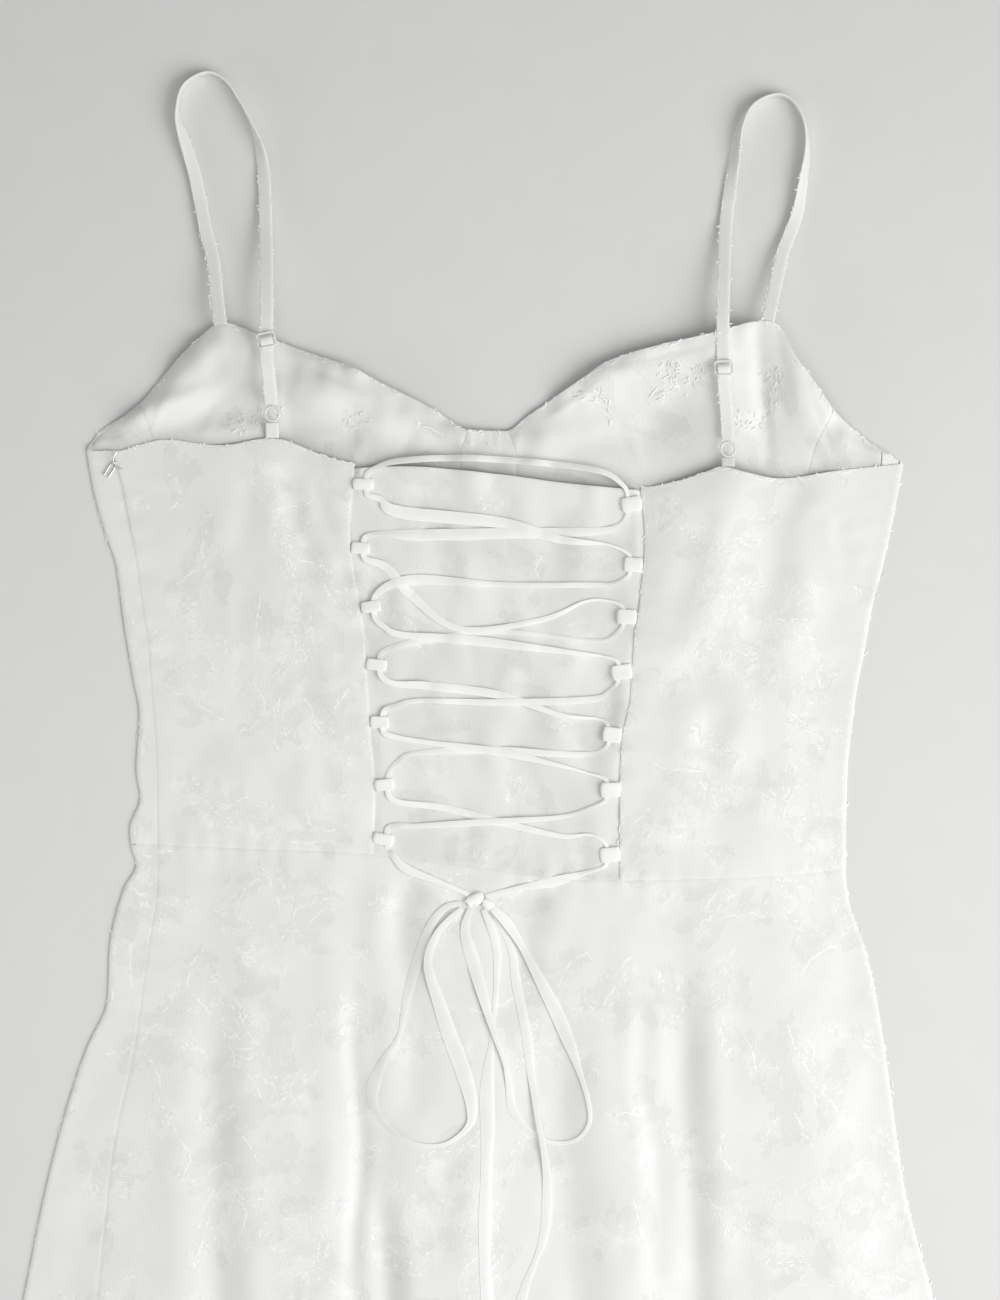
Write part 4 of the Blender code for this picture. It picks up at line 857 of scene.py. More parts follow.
class Shade:
    """A number or colour in a material's nodes, with arithmetic that adds nodes."""

    def __init__(self, tree, socket=None):
        self.tree = tree
        self.socket = socket

    def node(self, kind, inputs=(), output=0, **settings):
        """Adds a node, fills its inputs and gives one of its outputs."""
        made = self.tree.nodes.new(kind)
        for name, value in settings.items():
            setattr(made, name, value)
        for key, value in dict(inputs).items():
            if isinstance(value, Shade):
                self.tree.links.new(value.socket, made.inputs[key])
            else:
                made.inputs[key].default_value = value
        return Shade(self.tree, made.outputs[output])

    def place(self):
        """The point on the object, in metres."""
        return self.node("ShaderNodeTexCoord", output="Object")

    def painted(self, layer):
        """A value stored for the mesh's points."""
        return self.node("ShaderNodeAttribute", output="Fac", attribute_name=layer)

    def maths(self, operation, *others):
        return self.node("ShaderNodeMath", enumerate((self, *others)), operation=operation)

    def __add__(self, other):
        return self.maths("ADD", other)

    def __mul__(self, other):
        return self.maths("MULTIPLY", other)

    def __sub__(self, other):
        return self.maths("SUBTRACT", other)

    def __rsub__(self, other):
        return self.node("ShaderNodeMath", {0: other, 1: self}, operation="SUBTRACT")

    __radd__ = __add__
    __rmul__ = __mul__

    def step(self, low, high):
        """A soft step from 0 at low to 1 at high."""
        return self.node("ShaderNodeMapRange", {0: self, 1: low, 2: high},
                         interpolation_type="SMOOTHSTEP")

    def noise(self, scale, detail=2.0, roughness=0.5, distortion=0.0):
        """Noise read at these coordinates."""
        return self.node("ShaderNodeTexNoise", {
            "Vector": self, "Scale": scale, "Detail": detail, "Roughness": roughness,
            "Distortion": distortion})

    def stretched(self, x, y, z):
        """These coordinates multiplied along each axis."""
        return self.node("ShaderNodeVectorMath", {0: self, 1: (x, y, z)}, operation="MULTIPLY")

    def mix(self, low, high):
        """A colour between two others by this share."""
        return self.node("ShaderNodeMix", {0: self, 6: low, 7: high}, output=2,
                         data_type="RGBA")


def new_material(name):
    """A material, its node maker and its main shader."""
    made = bpy.data.materials.new(name)
    made.use_nodes = True
    tree = made.node_tree
    shader = tree.nodes["Principled BSDF"]
    return made, Shade(tree), shader


def feed(maker, shader, **values):
    """Fills the shader's inputs with constants or shaded values."""
    for name, value in values.items():
        key = name.replace("_", " ")
        if isinstance(value, Shade):
            maker.tree.links.new(value.socket, shader.inputs[key])
        else:
            shader.inputs[key].default_value = value


def jacquard():
    """White jacquard: fine satin floats, a soft mottle, the raised tone-on-tone bloom and painted shade.
    """
    made, maker, shader = new_material("white_jacquard")
    mm = maker.place().stretched(1000.0, 1000.0, 1000.0)
    floats = mm.stretched(1.9, 0.35, 1.9).noise(1.0, 2.0, 0.6)
    cross = mm.stretched(0.3, 2.6, 0.6).noise(1.0, 1.0, 0.5)
    mottle = mm.noise(0.03, 3.0, 0.6)
    bloom = maker.painted("bloom")
    painted_shade = maker.painted("painted_shade")
    ragged = mm.stretched(0.42, 0.2, 0.42).noise(1.0, 4.0, 0.7, 0.8)
    broad = mm.noise(0.014, 2.0, 0.5)
    # partly the jacquard's own tone, partly painted sheen: broad ragged satin areas and the motifs'
    # patches are painted lighter
    satin_tone_and_sheen = (broad * 1.6 + (ragged - 0.5) * 0.9 + bloom * 0.5).step(1.02, 1.16)
    patch = (bloom + (ragged - 0.5) * 1.5).step(0.45, 0.65)
    light = (mottle * 0.5 + floats * 0.22 + cross * 0.1 + patch * mottle * 0.1
             + satin_tone_and_sheen * 0.09)
    colour = light.step(0.2, 0.8).mix((0.805, 0.806, 0.794, 1), (0.893, 0.894, 0.882, 1))
    petals = maker.painted("petal")
    island = mm.noise(0.11, 3.0, 0.6)
    grey = (petals * 0.8 + (ragged - 0.5) * 1.3 + (island - 0.5) * 1.5).step(0.52, 0.64)
    # painted shade darkens the colour towards brown-grey by the stored shade value; the grey petals are
    # the motif's own tone
    shaded = (painted_shade * 0.9 + grey * 0.082).mix(colour, (0.30, 0.29, 0.27, 1))
    height = floats * 0.10 + cross * 0.08 + patch * 0.10 - grey * 0.10
    bump = maker.node("ShaderNodeBump", {"Strength": 0.6, "Distance": 0.001, "Height": height})
    feed(maker, shader, Base_Color=shaded, Roughness=0.66 - 0.08 * patch, Normal=bump,
         Sheen_Weight=0.15, Sheen_Roughness=0.4, Specular_IOR_Level=0.4)
    return made


def thread_finish():
    """The glossy raised threads of the motifs, each a little lighter or darker: partly a random tone,
    partly painted shade in the darker threads.
    """
    made, maker, shader = new_material("white_raised_threads")
    tone = maker.painted("tone")
    twist = maker.place().noise(3000.0, 2.0)
    colour = (tone * 0.85 + twist * 0.15).step(0.12, 0.5).mix((0.79, 0.79, 0.78, 1),
                                                              (0.95, 0.95, 0.945, 1))
    feed(maker, shader, Base_Color=colour, Roughness=0.45 + 0.2 * twist,
         Sheen_Weight=0.2, Specular_IOR_Level=0.5)
    return made


def satin(name, tone):
    """Satin with fine long floats and painted shade."""
    made, maker, shader = new_material(name)
    mm = maker.place().stretched(1000.0, 1000.0, 1000.0)
    floats = mm.stretched(0.7, 3.0, 1.5).noise(1.0, 2.0, 0.6)
    soft = mm.noise(0.12, 2.0)
    painted_shade = maker.painted("painted_shade")
    plain = (floats * 0.5 + soft * 0.5).step(0.3, 0.7).mix(
        (tone * 0.95, tone * 0.95, tone * 0.935, 1), (tone, tone, tone * 0.985, 1))
    # painted shade darkens the colour by the stored shade value
    colour = painted_shade.mix(plain, (0.35, 0.35, 0.34, 1))
    bump = maker.node("ShaderNodeBump", {"Strength": 0.35, "Distance": 0.001,
                                         "Height": floats * 0.08})
    feed(maker, shader, Base_Color=colour, Roughness=0.38 + 0.15 * soft, Normal=bump,
         Sheen_Weight=0.15, Specular_IOR_Level=0.45)
    return made


def coated():
    """White-coated wire."""
    made, maker, shader = new_material("white_coated_wire")
    wear = maker.place().noise(900.0, 3.0)
    feed(maker, shader, Roughness=0.25 + 0.2 * wear, Coat_Weight=0.4, Coat_Roughness=0.15,
         Base_Color=wear.step(0.35, 0.65).mix((0.76, 0.76, 0.74, 1), (0.84, 0.84, 0.82, 1)))
    return made


def nickel():
    """Bent nickel-coloured wire with fine drawing marks."""
    made, maker, shader = new_material("nickel_wire")
    marks = maker.place().noise(1500.0, 3.0)
    feed(maker, shader, Metallic=1.0, Roughness=0.18 + 0.2 * marks,
         Base_Color=marks.step(0.3, 0.7).mix((0.66, 0.66, 0.65, 1), (0.82, 0.82, 0.81, 1)))
    return made


def floor_finish():
    """Plain pale floor."""
    made, maker, shader = new_material("plain_floor")
    grain = maker.place().noise(40.0, 2.0)
    feed(maker, shader, Roughness=0.9, Specular_IOR_Level=0.1,
         Base_Color=grain.step(0.2, 0.8).mix((0.750, 0.748, 0.742, 1), (0.760, 0.758, 0.752, 1)))
    return made


def set_camera():
    """The photograph's view: straight down from far above."""
    shot = bpy.data.cameras.new("photo_camera")
    made = bpy.data.objects.new("photo_camera", shot)
    bpy.context.collection.objects.link(made)
    shot.sensor_fit = "AUTO"
    shot.sensor_width = 36.0
    shot.lens = shot.sensor_width * VIEW_AWAY / VIEW_TALL
    shot.clip_start = 0.01
    shot.clip_end = 20.0
    made.location = (*VIEW_MIDDLE, CLOTH_LEVEL + VIEW_AWAY)
    bpy.context.scene.camera = made


def area_light(name, place, target, size, power, spread=180):
    light = bpy.data.lights.new(name, "AREA")
    light.shape = "DISK"
    light.size = size
    light.energy = power
    light.spread = math.radians(spread)
    made = bpy.data.objects.new(name, light)
    made.location = place
    made.rotation_euler = (Vector(target) - Vector(place)).to_track_quat("-Z", "Y").to_euler()
    made.visible_camera = False
    bpy.context.collection.objects.link(made)


def set_studio():
    """Pale floor, soft light from the lower right, a low one from the left and a fill."""
    work = bmesh.new()
    bmesh.ops.create_grid(work, x_segments=1, y_segments=1, size=40000.0)
    bmesh.ops.translate(work, vec=(0, 0, -0.3), verts=work.verts)
    finished("floor", work, floor_finish())
    area_light("key_light", (1.3, -0.2, 1.1), (0.06, 0.18, 0.0), size=1.6, power=14.5,
               spread=LOW_SPREAD)
    area_light("side_light", (-1.4, -0.2, 0.28), (-0.15, 0.1, 0.0), size=0.5, power=1.9,
               spread=LOW_SPREAD)
    area_light("top_light", (-0.1, 0.05, 0.9), (-0.05, 0.1, 0.0), size=0.9, power=1.9)
    world = bpy.data.worlds.new("studio")
    world.use_nodes = True
    backdrop = world.node_tree.nodes["Background"]
    backdrop.inputs["Color"].default_value = (1.0, 1.0, 0.995, 1.0)
    backdrop.inputs["Strength"].default_value = WORLD_STRENGTH
    bpy.context.scene.world = world
    bpy.context.scene.view_settings.view_transform = "Standard"


def stands_for(node):
    """Hides the solid that a piece stands for."""
    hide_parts(node)


def crowded(power):
    return lambda share: share**power


def skirt_rows(share):
    """Rows lie closer in the upper part of the skirt, and none are far apart."""
    return 0.62 * share + 0.38 * share**2.2


def front_pieces(finish):
    """The front bodice, from its top edge to the waist, from left to right."""
    right_seam = shifted(right_fold, -FOLD_RADIUS - SEAM_TURN - SEAM_GAP)
    seams = [curve_of(rows) for rows in
             (CUP_SEAM_LEFT, BRIDGE_SEAM_LEFT, BRIDGE_SEAM_RIGHT, CUP_SEAM_RIGHT)]
    start = shifted(left_fold, FOLD_RADIUS)
    columns = spread(under, shifted(seams[0], -HALF_GAP), start, 22, front_top, waist)
    columns += [turned(left_fold, -1, a, front_top, waist) for a in range(15, 180, 15)]
    columns += spread(upper, start, shifted(left_seam, -HALF_GAP), 7, back_top, waist)
    made = [cloth("front_side_left_cloth", columns, FRONT_ROWS, crowded(1.4), finish)]
    for name, low, high, count in (
        ("front_cup_left_cloth", seams[0], seams[1], 64),
        ("front_bridge_cloth", seams[1], seams[2], 14),
        ("front_cup_right_cloth", seams[2], seams[3], 62),
    ):
        columns = spread(under, shifted(high, -HALF_GAP), shifted(low, HALF_GAP), count,
                         front_top, waist)
        made.append(cloth(name, columns, FRONT_ROWS, crowded(1.4), finish))
    columns = spread(under, right_seam, shifted(seams[3], HALF_GAP), 20, front_top, waist)
    made.append(cloth("front_side_right_cloth", columns, FRONT_ROWS, crowded(1.4), finish))
    return made


def round_right(top, bottom):
    """Columns round the right fold, from the upper face to the seam underneath."""
    fold_start = shifted(right_fold, -FOLD_RADIUS)
    turns = [turned(right_fold, 1, a, top, bottom) for a in range(165, 0, -15)]
    below = front_top if top is back_top else top
    return turns + spread(under, fold_start, shifted(fold_start, -SEAM_TURN), 3, below, bottom)


def back_pieces(finish):
    """The two back pieces and the panel behind their lacing."""
    columns = spread(upper, shifted(left_seam, HALF_GAP), lacing_left, BACK_COLUMNS,
                     back_top, waist)
    left = cloth("back_left_cloth", columns, BACK_ROWS, crowded(1.0), finish)
    columns = spread(upper, lacing_right, shifted(right_fold, -FOLD_RADIUS), BACK_COLUMNS,
                     back_top, waist)
    columns += round_right(back_top, waist)
    right = cloth("back_right_cloth", columns, BACK_ROWS, crowded(1.0), finish)
    low, high = shifted(lacing_left, -PANEL_UNDER), shifted(lacing_right, PANEL_UNDER)
    columns = spread(on_front, low, high, PANEL_COLUMNS, panel_top, waist)
    panel = cloth("lacing_panel_cloth", columns, PANEL_ROWS, crowded(1.0), finish)
    return [left, right, panel]


def skirt_pieces(finish):
    """The skirt's front, wrapped round the left fold, and its back, round the right fold."""
    start = shifted(left_fold, FOLD_RADIUS)
    low, high = shifted(left_seam, HALF_GAP), shifted(right_fold, -FOLD_RADIUS)
    columns = spread(upper, low, high, SKIRT_BACK_COLUMNS, waist, hem)
    columns += round_right(waist, hem)
    back = cloth("skirt_back_cloth", columns, SKIRT_BACK_ROWS, skirt_rows, finish)
    right_seam = shifted(right_fold, -FOLD_RADIUS - SEAM_TURN - SEAM_GAP)

    def under_waist(x):
        return waist(x) - 0.5

    columns = spread(under, right_seam, start, SKIRT_FRONT_COLUMNS, under_waist, hem)
    columns += [turned(left_fold, -1, a, under_waist, hem) for a in range(15, 180, 15)]
    columns += spread(upper, start, shifted(left_seam, -HALF_GAP), 12, waist, hem)
    front = cloth("skirt_front_cloth", columns, SKIRT_FRONT_ROWS, skirt_rows, finish)
    return [front, back]


def stroke(rng, x, y, turn, long, wide=0.5, bend=0.0):
    """One thread row: place, heading, length, width, height and bend."""
    return (x, y, turn, long * rng.uniform(0.45, 0.95), wide * rng.uniform(0.8, 1.4),
            rng.uniform(0.09, 0.16), bend + rng.gauss(0, 0.07))


def off(x, y, turn, along, aside=0.0):
    """The place reached by going along a heading and then aside from it."""
    c, s = math.cos(turn), math.sin(turn)
    return x + along * c - aside * s, y + along * s + aside * c


def scallop(rng, x, y, turn, size, spread_by=0.9):
    """One petal's curved outer edge, with a fringe of threads that runs in from it."""
    rows = []
    steps = max(2, round(size * spread_by * 2 / 5.0))
    for k in range(steps):
        if rng.random() < 0.2:
            continue
        angle = turn + spread_by * (2 * (k + 0.5) / steps - 1)
        out = size * rng.uniform(0.93, 1.05)
        rows.append(stroke(rng, *off(x, y, angle, out), angle + math.pi / 2, 6.4, 0.6, -0.1))
    for _ in range(round(size * spread_by * 0.9)):
        angle = turn + spread_by * rng.uniform(-0.9, 0.9)
        out = size * rng.uniform(0.4, 0.9)
        rows.append(stroke(rng, *off(x, y, angle, out), angle + rng.gauss(0, 0.25),
                           rng.uniform(1.8, 4.6), 0.45))
    return rows


def flower(rng, x, y, turn, size):
    """An open flower of overlapping petals in three uneven rings."""
    rows = []
    tall = rng.uniform(0.7, 1.15)
    for count, away, wide in ((3, 0.1, 0.3), (5, 0.42, 0.36), (8, 0.8, 0.42)):
        for k in range(count):
            if rng.random() < 0.2:
                continue
            angle = turn + math.tau * (k + rng.uniform(-0.3, 0.3)) / count + away
            far = size * away * rng.uniform(0.8, 1.25)
            rows += scallop(rng, x + far * math.cos(angle), y + far * tall * math.sin(angle),
                            angle + rng.uniform(-0.4, 0.4), size * wide * rng.uniform(0.7, 1.3),
                            rng.uniform(0.7, 1.2))
    return rows


def leaflet(rng, x, y, turn, size, side):
    """A pointed leaf of two bent edges and a few threads between them."""
    rows = []
    for edge in (-1, 1):
        aside = edge * size * rng.uniform(0.1, 0.2)
        if rng.random() < 0.8:
            rows.append(stroke(rng, *off(x, y, turn, size / 2, aside), turn + rng.gauss(0, 0.12),
                               size * 0.6, 0.6, edge * 0.14 + side * 0.06))
    for _ in range(round(size / 1.8)):
        out, aside = rng.uniform(0.15, 1.0) * size, rng.uniform(-0.16, 0.16) * size
        rows.append(stroke(rng, *off(x, y, turn, out, aside),
                           turn + rng.gauss(side * 0.15, 0.35), rng.uniform(1.4, 3.4), 0.45))
    return rows


def frond(rng, x, y, turn, size):
    """A curled stem with uneven pointed leaves."""
    rows = []
    curl = rng.choice((-1, 1)) * rng.uniform(0.6, 1.6)
    steps = max(4, round(size / 6.5))
    step = size / steps
    for k in range(steps):
        share = k / steps
        heading = turn + curl * share
        if rng.random() < 0.7:
            rows.append(stroke(rng, x, y, heading, step * 0.9, 0.55))
        for side in (-1, 1):
            if rng.random() < 0.3:
                continue
            lean = heading + side * rng.uniform(0.2, 1.2)
            long = (size * 0.34 * (1 - 0.5 * share) + 2.0) * rng.uniform(0.5, 1.4)
            out = rng.uniform(0.5, 3.0)
            rows += leaflet(rng, *off(x, y, lean, out), lean, long, side)
        x, y = off(x, y, heading, step)
    return rows


def petal(rng, x, y, turn, size):
    """A long narrow petal, outlined and hatched along its length."""
    rows = []
    steps = max(3, round(size / 5))
    for edge in (-1, 0, 1):
        for k in range(steps):
            if rng.random() < 0.25:
                continue
            share = (k + rng.uniform(0.2, 0.8)) / steps
            aside = edge * size * 0.14 * math.sin(math.pi * share)
            lean = edge * 0.4 * math.cos(math.pi * share)
            rows.append(stroke(rng, *off(x, y, turn, share * size, aside), turn + lean,
                               rng.uniform(2.5, 5.5), 0.65, -edge * 0.05))
    for _ in range(round(size * 0.8)):
        share, aside = rng.uniform(0.1, 1.0), rng.uniform(-0.12, 0.12) * size
        aside *= math.sin(math.pi * share)
        rows.append(stroke(rng, *off(x, y, turn, share * size, aside),
                           turn + rng.gauss(0, 0.2), rng.uniform(1.5, 4.0), 0.55))
    return rows


def contour(rng, x, y, turn, size):
    """A wandering broken edge of a large petal, with cut thread ends along it."""
    rows = []
    step = 2.2
    for _ in range(round(size / step)):
        turn += rng.gauss(0.02, 0.24)
        if rng.random() < 0.86:
            rows.append(stroke(rng, x, y, turn, 4.6, 0.75))
        if rng.random() < 0.5:
            lean = turn + rng.choice((-1, 1)) * rng.uniform(0.5, 1.4)
            out = rng.uniform(0.8, 2.2)
            rows.append(stroke(rng, *off(x, y, lean, out), lean, rng.uniform(1.2, 2.6), 0.5))
        x, y = off(x, y, turn, step)
    return rows


def tuft(rng, x, y, turn, size):
    """A loose cluster of short threads that lie nearly one way."""
    rows = []
    for _ in range(round(size * 1.8)):
        out, angle = size * 0.75 * math.sqrt(rng.random()), rng.uniform(0, math.tau)
        rows.append(stroke(rng, x + out * math.cos(angle), y + out * math.sin(angle) * 0.6,
                           turn + rng.gauss(0, 0.6), rng.uniform(1.4, 4.4), 0.5,
                           rng.gauss(0, 0.1)))
    return rows


KINDS = {"petal": petal, "flower": flower, "frond": frond, "contour": contour, "tuft": tuft}
LOWER_SIZES = {"flower": 25.0, "frond": 42.0, "contour": 46.0, "petal": 32.0, "tuft": 18.0}
SMALL_SIZES = {"frond": 22.0, "contour": 30.0, "petal": 24.0, "tuft": 11.0}


def lower_motifs():
    """More of the same motifs down the part of the skirt that the photograph cuts off."""
    rng = random.Random(77)
    rows = []
    for level in range(9):
        y = -46.0 - level * 58.0
        half = 205.0 + level * 14.0
        for k in range(9):
            x = -half + (k + 0.5 + 0.3 * (level % 2)) * 2 * half / 9 + rng.uniform(-9, 9)
            kind = rng.choice(("flower", "frond", "frond", "contour", "petal", "tuft", "contour"))
            up = y + rng.uniform(-16, 16)
            size = LOWER_SIZES[kind] * rng.uniform(0.8, 1.2)
            rows.append(Motif(kind, x, up, size, rng.uniform(60, 300)))
    return rows


def scattered(low, high, seed):
    """Small motifs that fill the cloth between the larger ones, in a band of heights."""
    rng = random.Random(seed)
    rows = []
    y = high
    while y > low:
        half = 190.0 + max(0.0, 190.0 - y) * 0.23
        count = round(half / 17)
        for k in range(count):
            x = -half + (k + rng.random()) * 2 * half / count
            kind = rng.choice(("contour", "contour", "contour", "tuft", "frond", "petal"))
            up = y + rng.uniform(-14, 14)
            size = SMALL_SIZES[kind] * rng.uniform(0.6, 1.2)
            rows.append(Motif(kind, x, up, size, rng.uniform(0, 360)))
        y -= 29.0
    return rows


def strokes_of(motifs, seed):
    """All thread rows of some motifs."""
    rng = random.Random(seed)
    rows = []
    for motif in motifs:
        rows += KINDS[motif.kind](rng, motif.x, motif.y, math.radians(motif.turn), motif.size)
    return rows


def thread_shape():
    """One raised thread's shape, a low ridge with pointed ends, as points and faces."""
    work = bmesh.new()
    bmesh.ops.create_grid(work, x_segments=3, y_segments=2, size=1.0)
    for vert in work.verts:
        end = abs(vert.co.x) > 0.9
        ridge = abs(vert.co.y) < 0.1
        side = 0.0 if end else vert.co.y
        vert.co = (vert.co.x * (1.0 if end else 1.4), side, 1.0 if ridge and not end else 0.0)
    bmesh.ops.remove_doubles(work, verts=work.verts, dist=0.001)
    work.verts.index_update()
    points = np.array([tuple(vert.co) for vert in work.verts])
    faces = [[vert.index for vert in face.verts] for face in work.faces]
    work.free()
    return points, faces


def threads(name, rows, ground, finish, darkest=0.0):
    """Raised threads on the cloth as one mesh, each turned and bent on its own."""
    points, faces = thread_shape()
    x, y, turn, long, wide, high, bend = np.array(rows).T[:, :, None]
    share = points[None, :, 0]
    along = share * long / 2
    across = points[None, :, 1] * wide / 2 + bend * long * (1 - share**2)
    px = x + along * np.cos(turn) - across * np.sin(turn)
    py = y + along * np.sin(turn) + across * np.cos(turn)
    base = ground(px, py) if callable(ground) else ground
    pz = base + (points[None, :, 2] * 1.25 - 0.25) * high
    places = np.stack([px, py, pz], axis=2).reshape(-1, 3) * MM
    count = len(points)
    copies = [[v + i * count for v in face] for i in range(len(rows)) for face in faces]
    mesh = bpy.data.meshes.new(name)
    mesh.from_pydata(places.tolist(), [], copies)
    mesh.shade_smooth()
    mesh.materials.append(finish)
    rng = random.Random(3)
    # each thread's tone is drawn at random; the darkest ones are partly painted shade
    tone = np.repeat([rng.uniform(darkest, 1.0) for _ in rows], count)
    mesh.attributes.new("tone", "FLOAT", "POINT").data.foreach_set("value", tone)
    made = bpy.data.objects.new(name, mesh)
    bpy.context.collection.objects.link(made)
    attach(made, "root")
    return made


def on_back(x, y):
    """Whether a place is well inside one of the pieces of the back."""
    if not left_fold(y) + 4 < x < right_fold(y) - 3:
        return False
    if y > back_top(x) - 3 or y < hem(x) + 4 or abs(x - left_seam(y)) < 1.6:
        return False
    if abs(y - waist(x)) < 1.6:
        return False
    return y < waist(x) or lacing_away(x, y) > 3


def on_front_inside(x, y):
    return back_top(x) + 3 < y < front_top(x) - 3


def on_panel(x, y):
    return lacing_away(x, y) < -2 and waist(x) + 3 < y < panel_top(x) - 3


def kept(rows, inside):
    return [row for row in rows if inside(row[0], row[1])]


def bloom_threads(finish):
    """The raised threads of the jacquard's motifs on every side that shows."""
    for name, rows, ground, inside in (
        ("bodice_threads", BODICE_STROKES, back_height, on_back),
        ("skirt_threads", SKIRT_STROKES, back_height, on_back),
        ("skirt_lower_threads", LOWER_STROKES, back_height, on_back),
        ("cup_threads", CUP_STROKES, inside_height, on_front_inside),
        ("panel_threads", PANEL_STROKES, panel_height, on_panel),
    ):
        threads(name, kept(rows, inside), ground, finish)


def fuzz(finish):
    """Cut thread ends along the outline, the upper edges and the lacing's edges."""
    rng = random.Random(31)
    rows = []

    def add(x, y, heading, ends):
        turn = heading + rng.gauss(0, ends)
        rows.append((x + rng.uniform(-0.6, 0.6), y + rng.uniform(-0.6, 0.6), turn,
                     rng.uniform(1.2, 4.2), rng.uniform(0.35, 0.75), 0.12, rng.gauss(0, 0.14)))

    for line, way in ((left_fold, 1), (right_fold, -1)):
        for y in np.arange(-548.0, 392.0, 1.5):
            lean = math.atan2(2.0, float(line(y + 1) - line(y - 1)))
            if rng.random() < 0.7:
                add(float(line(y)) + way * rng.uniform(-0.5, 2.4), float(y), lean, 0.6)
    for line, low, high in ((lacing_left, 200.0, 388.0), (lacing_right, 190.0, 376.0)):
        for y in np.arange(low, high, 3.0):
            add(float(line(y)) + (-1 if line is lacing_left else 1) * rng.uniform(0.3, 1.2),
                float(y), math.pi / 2, 0.5)
    for x in np.arange(-190.0, 208.0, 2.4):
        if not -62 < x < 81:
            add(float(x), float(back_top(x)) - rng.uniform(0.3, 1.4), 0.0, 0.6)
    threads("edge_fuzz", rows, edge_ground, finish, 0.6)
    rows = []
    for x in np.arange(-190.0, 208.0, 2.0):
        lean = math.atan2(float(front_top(x + 1) - front_top(x - 1)), 2.0)
        if rng.random() < 0.6:
            add(float(x), float(front_top(x)) - rng.uniform(0.3, 1.2), lean, 0.5)
    threads("rim_fuzz", rows, inside_height, finish, 0.6)


def edge_ground(x, y):
    """Height of the back, let down over its side folds."""
    inward = np.minimum(x - left_fold(y), right_fold(y) - x)
    return np.where(inward < FOLD_RADIUS, SIDE_HIGH * smooth((inward + 1.6) / 4.2),
                    back_height(x, y))


def inside_height(x, y):
    return front_lift(x, y) + WALL


ALL_BODICE = BODICE_MOTIFS + scattered(190.0, 395.0, 4)
ALL_SKIRT = SKIRT_MOTIFS + scattered(-25.0, 180.0, 5)
ALL_LOWER = lower_motifs() + scattered(-590.0, -40.0, 6)
BODICE_STROKES = strokes_of(ALL_BODICE, 11)
SKIRT_STROKES = strokes_of(ALL_SKIRT, 12)
LOWER_STROKES = strokes_of(ALL_LOWER, 13)
CUP_STROKES = strokes_of(CUP_MOTIFS, 14)
PANEL_STROKES = strokes_of(PANEL_MOTIFS, 15)
PETALS = petal_field(ALL_BODICE + ALL_SKIRT + ALL_LOWER + CUP_MOTIFS + PANEL_MOTIFS)
BLOOM = bloom_field(BODICE_STROKES + SKIRT_STROKES + LOWER_STROKES + CUP_STROKES
                    + PANEL_STROKES)


def rounded_section(wide, thick, points=3):
    """A strip's section with rounded edges."""
    half, radius = wide / 2 - thick / 2, thick / 2
    section = [(x, radius) for x in np.linspace(-half, half, points)]
    section += [(half + radius * math.cos(a), radius * math.sin(a))
                for a in (math.radians(45), 0.0, math.radians(-45))]
    section += [(x, -radius) for x in np.linspace(half, -half, points)]
    section += [(-half - radius * math.cos(a), radius * math.sin(a))
                for a in (math.radians(-45), 0.0, math.radians(45))]
    return section


def strip(name, route, thick, finish):
    """A flat strip with rounded edges along rows of (x, y, z, roll, width), with painted shade along its
    middle.
    """
    rings = []
    for i, row in enumerate(route):
        across, face = faced(route, i)
        section = rounded_section(row[4], thick, 5)
        rings.append([Vector(row[:3]) + across * a + face * b for a, b in section])
    # painted shade along the middle of both faces, so that the strip's edges look lit
    middle = [0.0, 0.05, 0.07, 0.05, 0.0, 0.0, 0.0, 0.0]
    made = skin(name, rings, finish, smooth_angle=70, shades=middle + middle)
    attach(made, "root")
    return made


def wire_rings(route, radius, around=8):
    """Round rings along a route of points."""
    rings = []
    for i, point in enumerate(route):
        heading = heading_at(route, i)
        side = heading.cross(Vector((0, 0, 1)))
        if side.length < 0.01:
            side = Vector((1, 0, 0))
        side.normalize()
        up = side.cross(heading)
        turns = [math.tau * k / around for k in range(around)]
        rings.append([Vector(point[:3]) + (side * math.cos(t) + up * math.sin(t)) * radius
                      for t in turns])
    return rings


def closed_wire(name, route, radius, finish):
    """A wire bent into a closed shape."""
    rings = wire_rings([route[-1], *route, route[0]], radius)[1:-1]
    made = skin(name, rings, finish, closed=True)
    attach(made, "root")
    return made


def stitches(name, route, finish):
    """Bright thread ends and stitches along both edges of a strap, on both its faces."""
    rng = random.Random(len(name))
    for face in (1, -1):
        rows, ground = [], []
        for i, row in enumerate(route):
            x, y, z, roll, wide = row
            heading = heading_at(route, i)
            lean = math.radians(roll)
            for edge in (-1, 1):
                if rng.random() < 0.15 or roll > 60:
                    continue
                loose = rng.random() < 0.35 and face > 0
                aside = edge * (wide / 2 - rng.uniform(-0.5, 0.3) if loose
                                else wide / 2 - rng.uniform(0.4, 0.9))
                across = aside * math.cos(lean)
                turn = math.atan2(heading.y, heading.x)
                rows.append((x - heading.y * across, y + heading.x * across,
                             turn + rng.gauss(0, 0.9 if loose else 0.3),
                             rng.uniform(1.2, 2.8),
                             rng.uniform(0.4, 0.8), 0.14 * face, 0.0))
                ground.append(z + aside * math.sin(lean) + face * STRAP_THICK / 2)
        end = "top" if face > 0 else "under"
        threads(f"{name}_{end}", rows, np.array(ground)[:, None], finish, 0.6)


